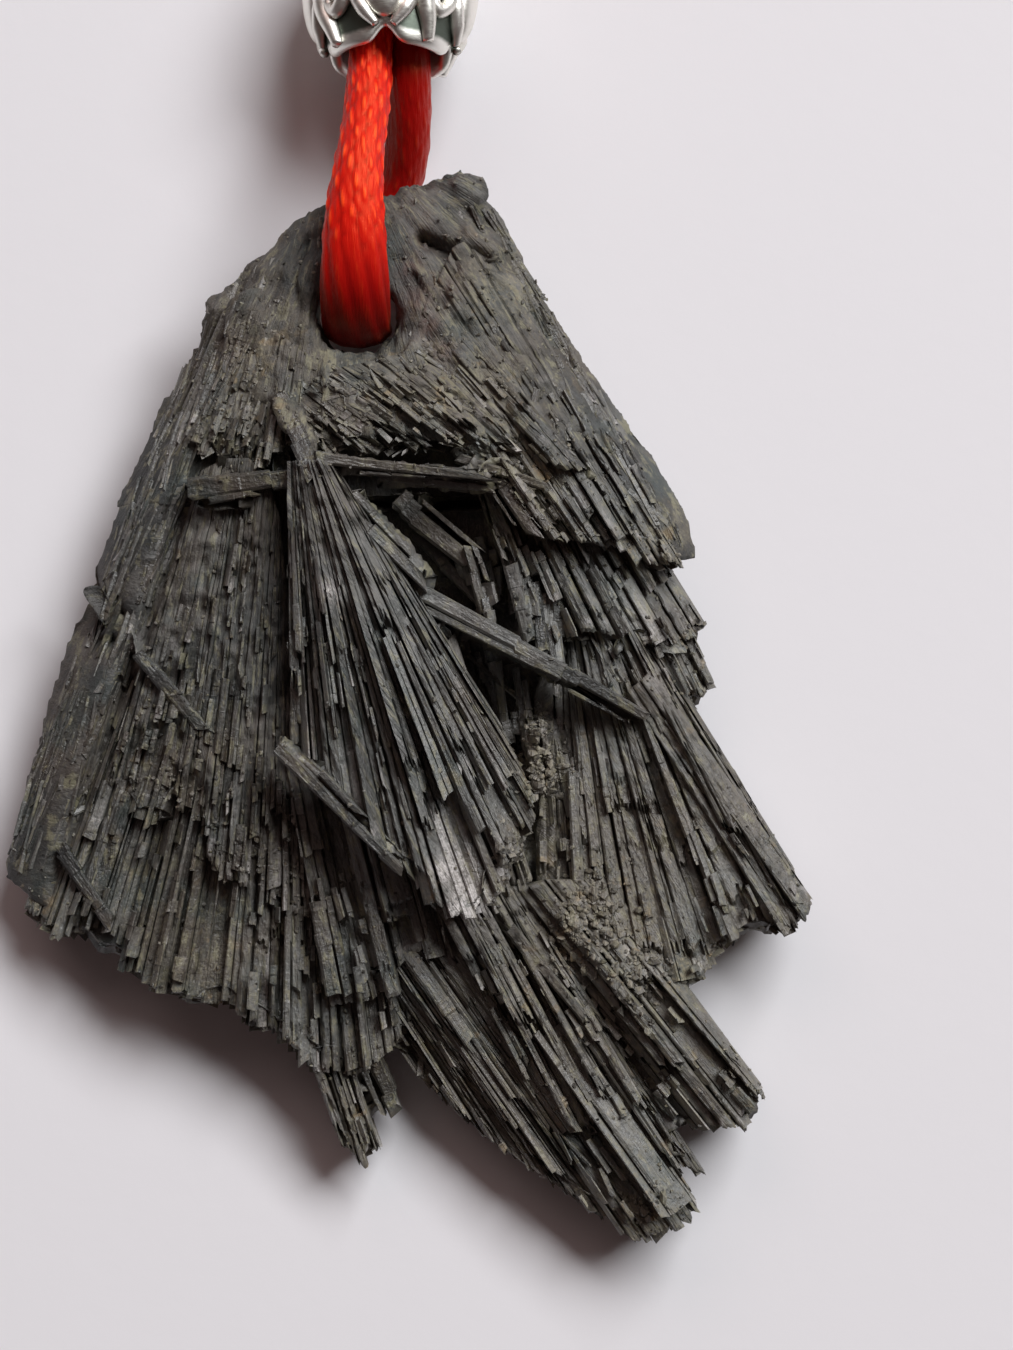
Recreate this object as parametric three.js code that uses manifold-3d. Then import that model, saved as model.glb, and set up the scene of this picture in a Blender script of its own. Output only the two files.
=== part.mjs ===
// Black kyanite fan, a natural cluster of bladed crystals, worn on a doubled satin cord.
// Millimetres, +Z up. The stone lies on its back: X runs across the fan, Y from its tips to its hole.
import * as THREE from "three";
import { mergeVertices } from "three/addons/utils/BufferGeometryUtils.js";
import Module from "manifold-3d";

const wasm = await Module();
wasm.setup();

// Driving dimensions
const holeRadius = 2.1;
const holeX = -2.65;
const holeY = 20.65;
const holeRim = 0.6; // width of the worn edge of the drilled hole
const rimTop = 6.8; // heights where the hole's worn edges begin, above and below
const rimUnder = 3.4;
const bladeGap = 0.05; // share of a blade's width left open on each side of it
const leastDepth = 0.5; // least depth of a blade at its tip
const cordDiameter = 2.3;
const cordTop = 8.65; // height of the cord's middle where it lies on the stone
const beadBore = 5.3;
const beadWidth = 8.9;
const beadLength = 8.6;
const beadTilt = 0.22; // radians, mouth up where the cord climbs onto the stone
const beadX = -0.92;
const beadY = 38.1;
const beadZ = 4.62;
const scrolls = 5; // raised scrolls round the bead
const scrollThickness = 0.9;
const scrollReach = 5.2; // half the length of a scroll's line
const scrollCurl = 0.42; // how fast its ends curl up
const coilMiddle = 12 * cordDiameter; // diameter at the middle of the turns
const coilTurnsWide = 3;
const coilTurnsHigh = 2;
const coilX = 8;
const coilY = 64;
const knotSize = [3.2, 2.7, 2.2]; // half sizes of the knot that ties the two ends
const knotAt = [3.05, 59.05, 2.2]; // against the inside of the turns
const cordSides = 8;
const cordSteps = 36;
const coilSides = 22;
const beadSides = 16;

const stoneMaterial = new THREE.MeshStandardMaterial({ color: 0x3b3b39, roughness: 0.6, metalness: 0.05 });
const cordMaterial = new THREE.MeshStandardMaterial({ color: 0xc3170b, roughness: 0.45, metalness: 0 });
const silverMaterial = new THREE.MeshStandardMaterial({ color: 0xc9c7c2, roughness: 0.25, metalness: 1 });

// A closed three.js geometry as a solid that can be joined and cut
function solidOf(geometry) {
  const bare = geometry.clone();
  bare.deleteAttribute("normal");
  bare.deleteAttribute("uv");
  const merged = mergeVertices(bare, 1e-4);
  return new wasm.Manifold(
    new wasm.Mesh({
      numProp: 3,
      vertProperties: merged.attributes.position.array,
      triVerts: new Uint32Array(merged.index.array),
    }),
  );
}

function joined(solids) {
  return solids.reduce((whole, next) => whole.add(next));
}

function meshOf(solid, name, material) {
  const mesh = solid.getMesh();
  const geometry = new THREE.BufferGeometry();
  geometry.setAttribute("position", new THREE.BufferAttribute(mesh.vertProperties, 3));
  geometry.setIndex(new THREE.BufferAttribute(mesh.triVerts, 1));
  return named(geometry, name, material);
}

function named(geometry, name, material) {
  const mesh = new THREE.Mesh(geometry, material);
  mesh.name = name;
  return mesh;
}

// Repeatable scatter from 0 to 1
function scatter(n) {
  const s = Math.sin(n * 12.9898 + 4.1414) * 43758.5453;
  return s - Math.floor(s);
}

function mix(a, b, t) {
  return a.map((value, i) => value + (b[i] - value) * t);
}

// Corners and outward triangles as one closed solid
function closedSolid(corners, faces) {
  const geometry = new THREE.BufferGeometry();
  geometry.setAttribute("position", new THREE.Float32BufferAttribute(corners.flat(), 3));
  geometry.setIndex(faces.flat());
  return solidOf(geometry);
}

// A closed body through rings of corners, lowest ring first, each ring anticlockwise from above
function loft(rings) {
  const sides = rings[0].length;
  const faces = [];
  rings.slice(1).forEach((ring, level) => {
    const low = level * sides;
    for (let i = 0; i < sides; i++) {
      const next = (i + 1) % sides;
      faces.push([low + i, low + next, low + sides + next]);
      faces.push([low + i, low + sides + next, low + sides + i]);
    }
  });
  const top = (rings.length - 1) * sides;
  for (let i = 1; i < sides - 1; i++) {
    faces.push([0, i + 1, i]);
    faces.push([top, top + i, top + i + 1]);
  }
  return closedSolid(rings.flat(), faces);
}

// Where the ribs of a fan, given at even spacing, have the side line at share u of the way across
function lineAt(ribs, u) {
  const place = u * (ribs.length - 1);
  const first = Math.min(Math.floor(place), ribs.length - 2);
  const t = place - first;
  return [mix(ribs[first][0], ribs[first + 1][0], t), mix(ribs[first][1], ribs[first + 1][1], t)];
}

// A fan of side-by-side blades with square broken tips. Ribs run clockwise from above, each [root, tip].
// Each blade's flat top steps up or down to the next one; the underside runs from keel to tips.
function fan({ ribs, blades, keel, under, ragged = 1.2, step = 0.5, roll = 0.3, seed }) {
  const roots = [];
  const tips = [];
  for (let i = 0; i < blades; i++) {
    const cut = ragged * scatter(seed + i);
    const slant = 0.35 * ragged * (scatter(seed + i + 50) - 0.5);
    const lift = step * (scatter(seed + i + 100) - 0.5);
    const turn = roll * (scatter(seed + i + 150) - 0.5);
    for (const side of [-1, 1]) {
      const [root, tip] = lineAt(ribs, (i + 0.5 + side * (0.5 - bladeGap)) / blades);
      const length = Math.hypot(tip[0] - root[0], tip[1] - root[1]);
      const end = mix(root, tip, 1 - Math.max(cut + side * slant, 0) / length);
      const height = lift + side * turn;
      roots.push([root[0], root[1], root[2] + height]);
      tips.push([end[0], end[1], end[2] + height]);
    }
  }
  const count = roots.length;
  const feet = tips.map(([x, y, z]) => [x, y, Math.min(under, z - leastDepth)]);
  const corners = [...roots, ...tips, ...feet, keel];
  const keelIndex = 3 * count;
  const faces = [];
  for (let i = 0; i < count - 1; i++) {
    const tip = count + i;
    const foot = 2 * count + i;
    faces.push([i, tip + 1, tip], [i, i + 1, tip + 1]);
    faces.push([tip, foot + 1, foot], [tip, tip + 1, foot + 1]);
    faces.push([keelIndex, foot, foot + 1], [keelIndex, i + 1, i]);
  }
  faces.push([keelIndex, count, 2 * count], [keelIndex, 0, count]);
  faces.push([keelIndex, 3 * count - 1, 2 * count - 1], [keelIndex, 2 * count - 1, count - 1]);
  return closedSolid(corners, faces);
}

// A crystal blade between two side lines, each [root, tip] with the height of its upper edge
function blade(left, right, baseRoot, baseTip) {
  const [leftRoot, leftTip] = left;
  const [rightRoot, rightTip] = right;
  const bottom = (point, z) => [point[0], point[1], Math.min(z, point[2] - leastDepth)];
  return loft([
    [
      bottom(rightRoot, baseRoot), bottom(rightTip, baseTip),
      bottom(leftTip, baseTip), bottom(leftRoot, baseRoot),
    ],
    [rightRoot, rightTip, leftTip, leftRoot],
  ]);
}

// A single crystal lying across the others, from and to on its upper face
function crystal(from, to, width, endWidth, depth, roll = 0) {
  const along = new THREE.Vector2(to[0] - from[0], to[1] - from[1]).normalize();
  const side = (point, half, lift) => [point[0] - along.y * half, point[1] + along.x * half, point[2] + lift];
  return blade(
    [side(from, width / 2, roll), side(to, endWidth / 2, roll)],
    [side(from, -width / 2, -roll), side(to, -endWidth / 2, -roll)],
    from[2] - depth,
    to[2] - depth,
  );
}

// The root mass under the fans, with the facet that the stone lies on
function rootMass() {
  const facet = [
    [-11, 3], [-12.5, -5], [-10, -10], [-5, -12.5], [1, -14], [6, -14.5], [8, -12], [8.5, -8],
    [8.5, -4], [8, 0], [7.5, 4], [5.5, 7], [2, 8.5], [-2, 9], [-5.5, 8.5], [-9, 6.5],
  ].map(([x, y]) => [x, y, 0]);
  const flank = [
    [-13.5, 8, 1.6], [-17.5, -6, 1.5], [-14.5, -11.5, 2.0], [-8.5, -14.5, 2.2], [-1, -17, 2.4],
    [7, -20, 2.2], [13, -19, 2.2], [13.5, -11, 2.2], [15, -8, 2.0], [12.5, -1, 2.0], [13, 4, 2.0],
    [11, 11, 2.2], [7, 16.5, 2.8], [-2, 17, 2.8], [-7.5, 17, 2.7], [-11, 14, 2.2],
  ];
  const brim = [
    [-14.5, 9, 2.8], [-19, -8, 2.6], [-15.3, -13, 2.9], [-9, -15, 3.0], [-2, -18, 3.1],
    [9, -24, 3.0], [16, -21, 3.2], [14.5, -13, 3.2], [17.5, -9, 3.1], [14.5, -2, 3.1], [15, 4, 3.1],
    [13, 12, 3.2], [7, 19, 3.4], [-2, 19, 3.4], [-8, 19, 3.4], [-12, 15, 3.2],
  ];
  const shoulder = [
    [-11.5, 9, 4.6], [-15, -5, 4.2], [-12.5, -10, 4.4], [-7.5, -12.5, 4.6], [-2, -15, 4.4],
    [7, -19, 4.2], [12, -18, 4.2], [12, -12, 4.4], [13.5, -7.5, 4.4], [11.5, -1.5, 4.6], [12, 4, 4.6],
    [10.5, 11, 4.8], [6, 16, 5.4], [-2, 16, 5.6], [-7, 16, 5.6], [-10, 13.5, 5.2],
  ];
  return loft([facet, flank, brim, shoulder]);
}

// The weathered head that holds the hole
function head() {
  const under = [
    [-9.2, 19.5, 3.5], [-10.5, 15.5, 3.4], [-6, 12, 3.4], [0, 12, 3.2], [6, 12.5, 3.4], [9.2, 17, 3.2],
    [6.2, 22, 3.0], [4.3, 26, 3.2], [2.6, 27.6, 3.4], [-1.2, 26.4, 3.0], [-5, 25.6, 3.0], [-8, 22.8, 3.1],
  ];
  const waist = [
    [-10.9, 20.4, 4.6], [-11.8, 15, 4.6], [-6.4, 12.6, 5.6], [0, 12.6, 5.8],
    [6.4, 13.4, 5.6], [9.6, 17.6, 4.4], [6.7, 22.6, 4.4], [4.8, 26.2, 4.6],
    [2.8, 28.4, 5.0], [-1.2, 27.2, 4.6], [-5.2, 26.3, 4.7], [-8.4, 23.6, 4.5],
  ];
  const crown = [
    [-9.6, 19.6, 6.0], [-10.4, 15.2, 6.5], [-6.6, 13.4, 7.9], [-0.4, 13.2, 8.0],
    [5.4, 14.2, 7.7], [8.0, 17.8, 6.4], [5.6, 21.8, 6.3], [4.1, 25.2, 6.4],
    [2.9, 27.6, 6.4], [-1, 26.6, 6.3], [-4.7, 25.5, 6.3], [-7.4, 22.9, 6.2],
  ];
  const summit = [
    [-7.2, 18.8, 7.3], [-7.6, 16.2, 7.8], [-5.2, 14.8, 8.5], [-0.6, 14.6, 8.5],
    [3.2, 15.4, 8.3], [5.2, 18.2, 7.5], [3.4, 21.4, 7.3], [2.4, 24.2, 7.1],
    [1.6, 25.8, 7.1], [-0.8, 25.2, 7.1], [-3.8, 24.2, 7.1], [-5.6, 21.8, 7.2],
  ];
  const lumps = [
    { at: [1.0, 20.6, 6.9], size: [1.5, 3.0, 1.1] },
    { at: [3.4, 22.8, 6.6], size: [2.0, 2.6, 1.1] },
    { at: [3.1, 26.9, 6.0], size: [1.4, 1.4, 1.2] },
    { at: [-10.1, 21.0, 4.8], size: [0.9, 1.1, 1.1] },
    { at: [-7.9, 19.9, 6.2], size: [2.0, 2.8, 1.1] },
  ];
  return joined([
    loft([under, waist, crown, summit]),
    ...lumps.map(({ at, size }, i) => lump(at, size, i)),
  ]);
}

// An angular grain with twenty faces, turned and stretched
function lump(at, size, seed) {
  const geometry = new THREE.IcosahedronGeometry(1, 0);
  geometry.rotateX(scatter(seed + 7) * 3);
  geometry.rotateZ(scatter(seed + 9) * 6);
  geometry.scale(...size);
  geometry.translate(...at);
  return solidOf(geometry);
}

// The smooth worn flanks, from head to foot: outer edge, crest and hidden inner heel at each station
const leftFlank = [
  [[-9.6, 22.2, 4.4], [-7.4, 20.6, 6.6], [-7.0, 19.0, 3.6]],
  [[-11.0, 19.8, 3.9], [-8.6, 18.6, 7.0], [-8.0, 17.0, 3.6]],
  [[-12.8, 16.4, 3.4], [-10.4, 15.2, 6.9], [-9.0, 14.0, 3.2]],
  [[-15.4, 9.6, 3.1], [-12.9, 8.8, 6.6], [-11.0, 8.0, 2.8]],
  [[-17.3, 3.8, 3.0], [-14.8, 3.2, 6.2], [-12.5, 2.6, 2.4]],
  [[-19.9, -3.6, 2.9], [-17.4, -3.8, 5.6], [-15.0, -3.8, 2.0]],
  [[-21.2, -9.4, 2.7], [-19.4, -10.4, 4.4], [-17.5, -9.4, 2.0]],
];
const rightFlank = [
  [[15.6, 7.6, 4.4], [14.2, 7.4, 6.4], [12.0, 8.0, 4.0]],
  [[14.9, 10.4, 4.3], [13.4, 10.4, 6.7], [11.0, 10.6, 4.0]],
  [[13.4, 12.9, 4.2], [11.9, 12.8, 6.8], [9.6, 13.0, 3.8]],
  [[9.7, 18.0, 4.1], [8.2, 17.6, 6.6], [6.2, 17.0, 3.6]],
  [[6.6, 22.8, 4.2], [4.9, 22.2, 6.5], [4.0, 21.6, 3.6]],
  [[4.7, 26.1, 4.4], [3.7, 25.5, 6.3], [2.6, 25.0, 3.8]],
];

function flank(stations) {
  const corners = stations.flat();
  const last = 3 * (stations.length - 1);
  const faces = [[0, 1, 2], [last, last + 2, last + 1]];
  for (let low = 0; low < last; low += 3) {
    for (let i = 0; i < 3; i++) {
      const next = (i + 1) % 3;
      faces.push([low + i, low + 3 + next, low + next], [low + i, low + 3 + i, low + 3 + next]);
    }
  }
  return closedSolid(corners, faces);
}

// Short worn blades that spread over the head below the hole
const collars = [
  {
    ribs: [
      [[3.6, 21.5, 6.8], [10.6, 11.4, 8.9]],
      [[2.2, 20.5, 7.2], [8.4, 11.0, 9.2]],
      [[0.6, 19.0, 7.6], [5.8, 11.8, 9.2]],
      [[-1.6, 17.8, 8.0], [2.2, 12.6, 9.0]],
      [[-3.2, 17.4, 8.2], [-1.2, 13.0, 8.9]],
      [[-4.8, 17.6, 8.2], [-4.2, 13.4, 8.8]],
    ],
    blades: 9, keel: [2.0, 15.0, 5.4], under: 7.6, ragged: 1.8, step: 0.5, seed: 283,
  },
  {
    ribs: [
      [[-5.2, 18.4, 7.6], [-5.6, 13.0, 8.6]],
      [[-6.2, 19.2, 7.2], [-7.6, 12.0, 8.4]],
      [[-7.4, 20.0, 6.8], [-9.8, 12.4, 7.9]],
      [[-8.6, 20.6, 6.2], [-11.8, 13.2, 6.6]],
    ],
    blades: 5, keel: [-7.2, 15.0, 5.0], under: 6.4, ragged: 1.2, step: 0.4, seed: 307,
  },
];

// Left fan: a smooth flank that falls to the left edge, then blades that end in broken steps
const leftLower = {
  ribs: [
    [[-5.1, 7.7, 5.4], [0.6, -17.2, 4.4]],
    [[-5.5, 10.9, 6.0], [-0.8, -19.0, 4.8]],
    [[-5.7, 13.0, 6.4], [-2.6, -20.6, 5.0]],
    [[-5.8, 14.1, 6.8], [-4.8, -20.4, 5.2]],
    [[-5.9, 15.1, 7.0], [-7.2, -18.6, 5.4]],
    [[-6.1, 16.2, 7.2], [-9.7, -16.5, 5.6]],
    [[-6.2, 16.9, 7.2], [-12.6, -16.0, 5.6]],
    [[-6.3, 18.3, 7.0], [-15.3, -15.0, 5.4]],
    [[-6.4, 19.8, 6.8], [-17.0, -13.0, 5.0]],
    [[-8.2, 18.6, 6.2], [-19.2, -12.7, 4.6]],
    [[-9.4, 18.0, 5.8], [-20.9, -11.4, 3.6]],
  ],
  blades: 17, keel: [-6.5, 4.0, 2.2], under: 2.7, ragged: 1.6, step: 0.5, seed: 11,
};
const leftUpper = {
  ribs: [
    [[-6.2, 6.0, 6.8], [-5.6, -12.2, 6.4]],
    [[-6.6, 10.0, 7.6], [-7.6, -11.4, 6.9]],
    [[-7.2, 12.0, 7.8], [-9.6, -10.4, 7.0]],
    [[-8.2, 13.0, 7.7], [-11.0, -8.4, 7.0]],
    [[-9.4, 13.0, 7.2], [-13.4, -6.6, 6.8]],
    [[-10.8, 12.4, 6.4], [-16.4, -5.4, 6.0]],
  ],
  blades: 11, keel: [-8.5, 4.0, 3.4], under: 4.2, ragged: 3.4, step: 0.6, seed: 37,
};

// Centre fan: the raised one, thick slabs that spread from under the cross blades
const centre = {
  ribs: [
    [[-3.2, 11.9, 9.4], [4.9, -0.8, 8.2]],
    [[-3.5, 12.3, 9.9], [6.9, -4.9, 8.8]],
    [[-3.8, 12.5, 10.2], [6.7, -6.9, 9.2]],
    [[-4.2, 12.7, 10.3], [5.9, -8.9, 9.6]],
    [[-4.5, 12.7, 10.4], [4.6, -11.1, 10.0]],
    [[-4.8, 12.7, 10.4], [2.2, -11.6, 10.2]],
    [[-5.1, 12.7, 10.4], [-0.5, -8.4, 10.2]],
    [[-5.4, 12.7, 10.2], [-2.7, -6.4, 10.0]],
    [[-5.7, 12.7, 10.0], [-4.5, -3.6, 9.6]],
    [[-6.1, 12.7, 9.6], [-6.1, -1.8, 9.0]],
  ],
  blades: 15, keel: [-1.0, 3.0, 3.4], under: 6.6, ragged: 1.3, step: 0.7, seed: 71,
};
const underCentre = {
  ribs: [
    [[2.6, 4.0, 6.6], [6.6, -9.0, 6.0]],
    [[1.0, 2.0, 7.4], [5.6, -13.0, 5.8]],
    [[-1.0, 0.0, 7.8], [3.2, -14.6, 5.8]],
    [[-3.0, -1.0, 8.0], [0.6, -15.2, 5.8]],
    [[-5.0, -2.0, 7.6], [-1.8, -15.8, 6.0]],
    [[-6.4, -3.0, 7.0], [-4.2, -16.0, 6.0]],
  ],
  blades: 9, keel: [-1.0, -4.0, 2.2], under: 3.2, ragged: 2.2, step: 0.6, seed: 93,
};

// Right side: three stepped ledges, each with square broken tips
const rightLedges = [
  {
    ribs: [
      [[4.4, 24.4, 6.2], [14.9, 7.0, 6.2]],
      [[3.4, 24.6, 6.6], [13.8, 7.0, 7.4]],
      [[2.4, 24.0, 7.2], [12.8, 7.2, 7.8]],
      [[1.8, 22.6, 7.4], [11.2, 7.8, 8.3]],
      [[1.0, 21.0, 7.5], [9.6, 8.2, 8.6]],
      [[0.4, 19.0, 7.6], [7.6, 8.6, 8.6]],
      [[-0.4, 17.0, 7.6], [5.6, 11.0, 8.5]],
    ],
    blades: 11, keel: [5.0, 14.0, 3.4], under: 5.4, ragged: 1.5, step: 0.6, seed: 113,
  },
  {
    ribs: [
      [[10.2, 13.5, 4.8], [16.5, 3.6, 4.0]],
      [[8.1, 14.1, 6.2], [15.0, 2.6, 6.0]],
      [[5.9, 14.6, 6.6], [12.4, 2.4, 6.9]],
      [[4.4, 15.1, 6.7], [10.2, 2.8, 7.1]],
      [[3.3, 15.1, 6.6], [8.2, 2.6, 7.0]],
      [[2.5, 14.6, 6.4], [6.4, 3.4, 6.8]],
    ],
    blades: 11, keel: [7.5, 8.0, 3.0], under: 4.0, ragged: 1.3, step: 0.6, seed: 139,
  },
  {
    ribs: [
      [[12.3, 9.8, 4.2], [16.8, 0.5, 3.6]],
      [[10.4, 10.4, 5.0], [15.8, -0.2, 5.0]],
      [[8.8, 9.8, 5.4], [14.2, -0.6, 5.8]],
      [[7.3, 9.8, 5.4], [12.4, 0.4, 6.0]],
      [[5.9, 9.8, 5.2], [10.6, 0.6, 5.8]],
    ],
    blades: 8, keel: [8.0, 5.0, 2.4], under: 2.8, ragged: 1.0, step: 0.5, seed: 163,
  },
];

// Right wing, below the ledges, its outer blades longest
const rightWing = {
  ribs: [
    [[13.1, 3.5, 4.2], [20.9, -9.0, 3.6]],
    [[12.4, 3.9, 5.0], [21.2, -10.2, 4.6]],
    [[11.8, 4.2, 5.3], [20.8, -12.6, 5.2]],
    [[11.2, 4.3, 5.3], [18.8, -12.2, 5.3]],
    [[10.6, 4.3, 5.2], [17.2, -13.6, 5.2]],
    [[9.9, 4.2, 5.2], [15.8, -15.4, 5.2]],
    [[9.3, 4.1, 5.0], [13.4, -15.6, 5.4]],
    [[8.7, 3.8, 4.8], [11.1, -15.0, 5.6]],
    [[8.1, 3.5, 4.6], [8.7, -14.0, 5.6]],
    [[6.6, 0.6, 4.4], [6.8, -13.4, 5.2]],
  ],
  blades: 14, keel: [9.0, -4.0, 2.2], under: 2.8, ragged: 1.6, step: 0.7, seed: 181,
};

// Lower fans: the long tail, the heel beside it and the small spur on the left
const tail = {
  ribs: [
    [[4.9, -8.1, 5.0], [15.9, -25.0, 4.2]],
    [[3.3, -7.5, 5.2], [14.2, -24.2, 4.9]],
    [[1.7, -7.5, 5.2], [15.2, -26.6, 4.8]],
    [[0.2, -8.1, 5.2], [14.0, -27.6, 4.9]],
    [[-1.4, -8.6, 5.0], [12.2, -28.4, 4.8]],
    [[-3.0, -9.1, 4.6], [9.0, -26.6, 4.2]],
    [[-4.1, -10.2, 4.2], [4.4, -23.6, 3.5]],
    [[-4.8, -12.0, 3.8], [0.4, -19.8, 3.3]],
  ],
  blades: 12, keel: [1.0, -12.0, 2.0], under: 1.9, ragged: 1.0, step: 0.5, seed: 211,
};
const tailUpper = {
  ribs: [
    [[6.0, -9.4, 5.8], [13.0, -21.4, 5.4]],
    [[4.6, -9.6, 6.2], [12.0, -23.0, 5.6]],
    [[3.0, -10.0, 6.3], [9.8, -23.4, 5.7]],
    [[1.6, -10.6, 6.0], [7.2, -21.6, 5.4]],
  ],
  blades: 6, keel: [3.0, -12.0, 3.0], under: 3.2, ragged: 3.2, step: 0.5, seed: 233,
};
const heel = {
  ribs: [
    [[10.7, -9.1, 4.6], [19.0, -20.4, 3.8]],
    [[8.8, -9.1, 5.2], [19.2, -21.4, 4.8]],
    [[7.3, -9.1, 5.4], [18.2, -23.0, 5.1]],
    [[5.9, -9.6, 5.2], [16.6, -22.9, 5.0]],
    [[4.9, -10.2, 5.0], [14.6, -22.6, 4.6]],
  ],
  blades: 8, keel: [8.0, -11.5, 2.2], under: 2.1, ragged: 0.9, step: 0.6, seed: 251,
};
const spur = {
  ribs: [
    [[-4.0, -15.9, 3.8], [-1.5, -23.6, 3.4]],
    [[-5.1, -15.4, 3.9], [-2.2, -24.8, 3.5]],
    [[-6.4, -15.4, 3.5], [-3.6, -23.8, 3.0]],
  ],
  blades: 4, keel: [-5.5, -15.6, 2.4], under: 1.7, ragged: 0.6, step: 0.4, seed: 269,
};

// Single crystals that lie across the fans: from, to, width, end width, depth, roll
const crystals = [
  [[-4.8, 12.6, 11.0], [4.5, 12.0, 9.6], 1.1, 0.8, 0.9, 0.15],
  [[-1.4, 11.8, 9.6], [4.7, 11.3, 8.8], 0.8, 0.6, 0.8, 0.1],
  [[-11.3, 11.1, 8.4], [-5.6, 11.8, 9.6], 1.3, 1.2, 2.0, 0.2],
  [[-6.6, 16.4, 8.6], [-4.2, 12.0, 10.7], 1.1, 1.4, 3.0, -0.2],
  [[-4.4, 7.1, 11.0], [-3.4, 5.0, 11.0], 0.9, 1.0, 1.2, 0.1],
  [[-3.0, 10.9, 10.3], [1.4, 6.5, 9.3], 1.5, 1.2, 1.6, -0.15],
  [[-1.8, 7.0, 8.0], [8.1, 1.6, 8.3], 1.6, 1.3, 2.4, 0.2],
  [[7.3, 2.1, 8.1], [12.4, -0.9, 7.1], 1.3, 0.8, 1.5, 0.1],
  [[-6.6, -1.5, 11.0], [0.3, -8.2, 10.8], 1.1, 0.8, 0.9, 0.1],
  [[-16.6, 6.4, 6.4], [-13.8, 2.4, 7.0], 0.7, 0.8, 1.2, 0.1],
  [[-14.2, 3.0, 7.2], [-10.3, -1.5, 7.7], 0.8, 0.6, 1.2, 0.1],
  [[-17.4, -8.2, 5.6], [-15.2, -11.4, 5.9], 1.0, 0.8, 1.2, 0.1],
  [[-0.6, 11.2, 6.0], [3.7, 7.8, 6.8], 1.6, 1.3, 3.4, 0.2],
  [[0.4, 9.4, 5.2], [4.0, 5.8, 5.6], 1.2, 1.0, 2.8, -0.2],
  [[3.2, 8.6, 7.4], [4.4, 4.8, 7.4], 0.9, 0.8, 1.6, 0.1],
  [[5.4, 7.6, 7.6], [6.4, 3.4, 7.4], 0.8, 0.7, 1.4, 0.1],
  [[4.6, 11.8, 8.0], [6.6, 8.6, 8.6], 1.0, 0.9, 1.6, 0.2],
  [[2.6, 12.8, 8.4], [7.6, 11.2, 8.8], 1.0, 0.8, 1.4, 0.2],
  [[5.3, -11.6, 6.5], [9.4, -16.4, 6.2], 0.7, 0.6, 1.4, 0.1],
  [[6.6, -0.6, 6.8], [7.2, -4.4, 6.6], 1.2, 1.0, 2.4, 0.1],
  [[-2.2, -18.6, 3.6], [-1.2, -21.8, 3.0], 1.4, 1.2, 1.4, 0.1],
];

// Knots of pale matrix between the lower fans
const matrixLumps = [
  { at: [9.8, -11.8, 5.4], size: [1.6, 2.0, 0.9], turn: 20 },
  { at: [12.0, -14.0, 5.2], size: [1.3, 1.2, 0.9], turn: 21 },
  { at: [7.3, -3.4, 5.9], size: [0.9, 1.9, 1.0], turn: 22 },
];

// A round hole whose worn edges open in cones above and below
function drilledHole() {
  const sides = 16;
  const cone = holeRim + 2;
  const mouth = holeRadius + cone;
  const wall = new THREE.CylinderGeometry(holeRadius, holeRadius, 4 * rimTop, sides);
  const upper = new THREE.CylinderGeometry(mouth, holeRadius, cone, sides);
  const lower = new THREE.CylinderGeometry(holeRadius, mouth, cone, sides);
  upper.translate(0, rimTop + cone / 2, 0);
  lower.translate(0, rimUnder - cone / 2, 0);
  const tools = [wall, upper, lower].map((geometry) => {
    geometry.rotateX(Math.PI / 2);
    geometry.translate(holeX, holeY, 0);
    return solidOf(geometry);
  });
  return joined(tools);
}

function kyaniteFan() {
  const fans = [
    ...collars, leftLower, leftUpper, centre, underCentre, ...rightLedges,
    rightWing, tail, tailUpper, heel, spur,
  ];
  const stone = joined([
    rootMass(),
    head(),
    flank(leftFlank),
    flank(rightFlank),
    ...fans.map(fan),
    ...crystals.map((values) => crystal(...values)),
    ...matrixLumps.map(({ at, size, turn }) => lump(at, size, turn)),
  ]).subtract(drilledHole());
  // Pockets that the fans close off have no way out, so only the outer surface is kept
  const surfaces = stone.decompose().sort((a, b) => b.volume() - a.volume());
  return meshOf(surfaces[0], "kyanite_fan", stoneMaterial);
}

// Radius that the scrolls follow at a distance along the bead's axis from its middle
function barrelRadius(along) {
  const share = along / (beadLength / 2);
  const narrowing = 0.7;
  return beadWidth / 2 - 0.5 - narrowing * share * share;
}

// One raised scroll, a line that curls up at both ends, laid on the barrel at a turn round the axis
function scrollWire(turn, lean) {
  const steps = 12;
  const stride = (2 * scrollReach) / steps;
  const points = [];
  let across = 0;
  let along = -1.9;
  for (let i = 0; i <= steps; i++) {
    const fromMiddle = i * stride - scrollReach;
    const radius = barrelRadius(along);
    const angle = turn + across / radius;
    points.push(new THREE.Vector3(Math.cos(angle) * radius, along, Math.sin(angle) * radius));
    const heading = lean + (scrollCurl * fromMiddle * fromMiddle) / 2;
    across += Math.sin(heading) * stride;
    along += Math.cos(heading) * stride;
  }
  return tubeAlong(points, scrollThickness / 2, 5, steps);
}

// A round bar through points, closed at both ends
function tubeAlong(points, radius, sides, steps) {
  const corners = Array.from({ length: sides }, (_, i) => {
    const angle = (2 * Math.PI * i) / sides;
    return new THREE.Vector2(Math.cos(angle) * radius, Math.sin(angle) * radius);
  });
  return new THREE.ExtrudeGeometry(new THREE.Shape(corners), {
    extrudePath: new THREE.CatmullRomCurve3(points, false, "centripetal"),
    steps,
  });
}

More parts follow.
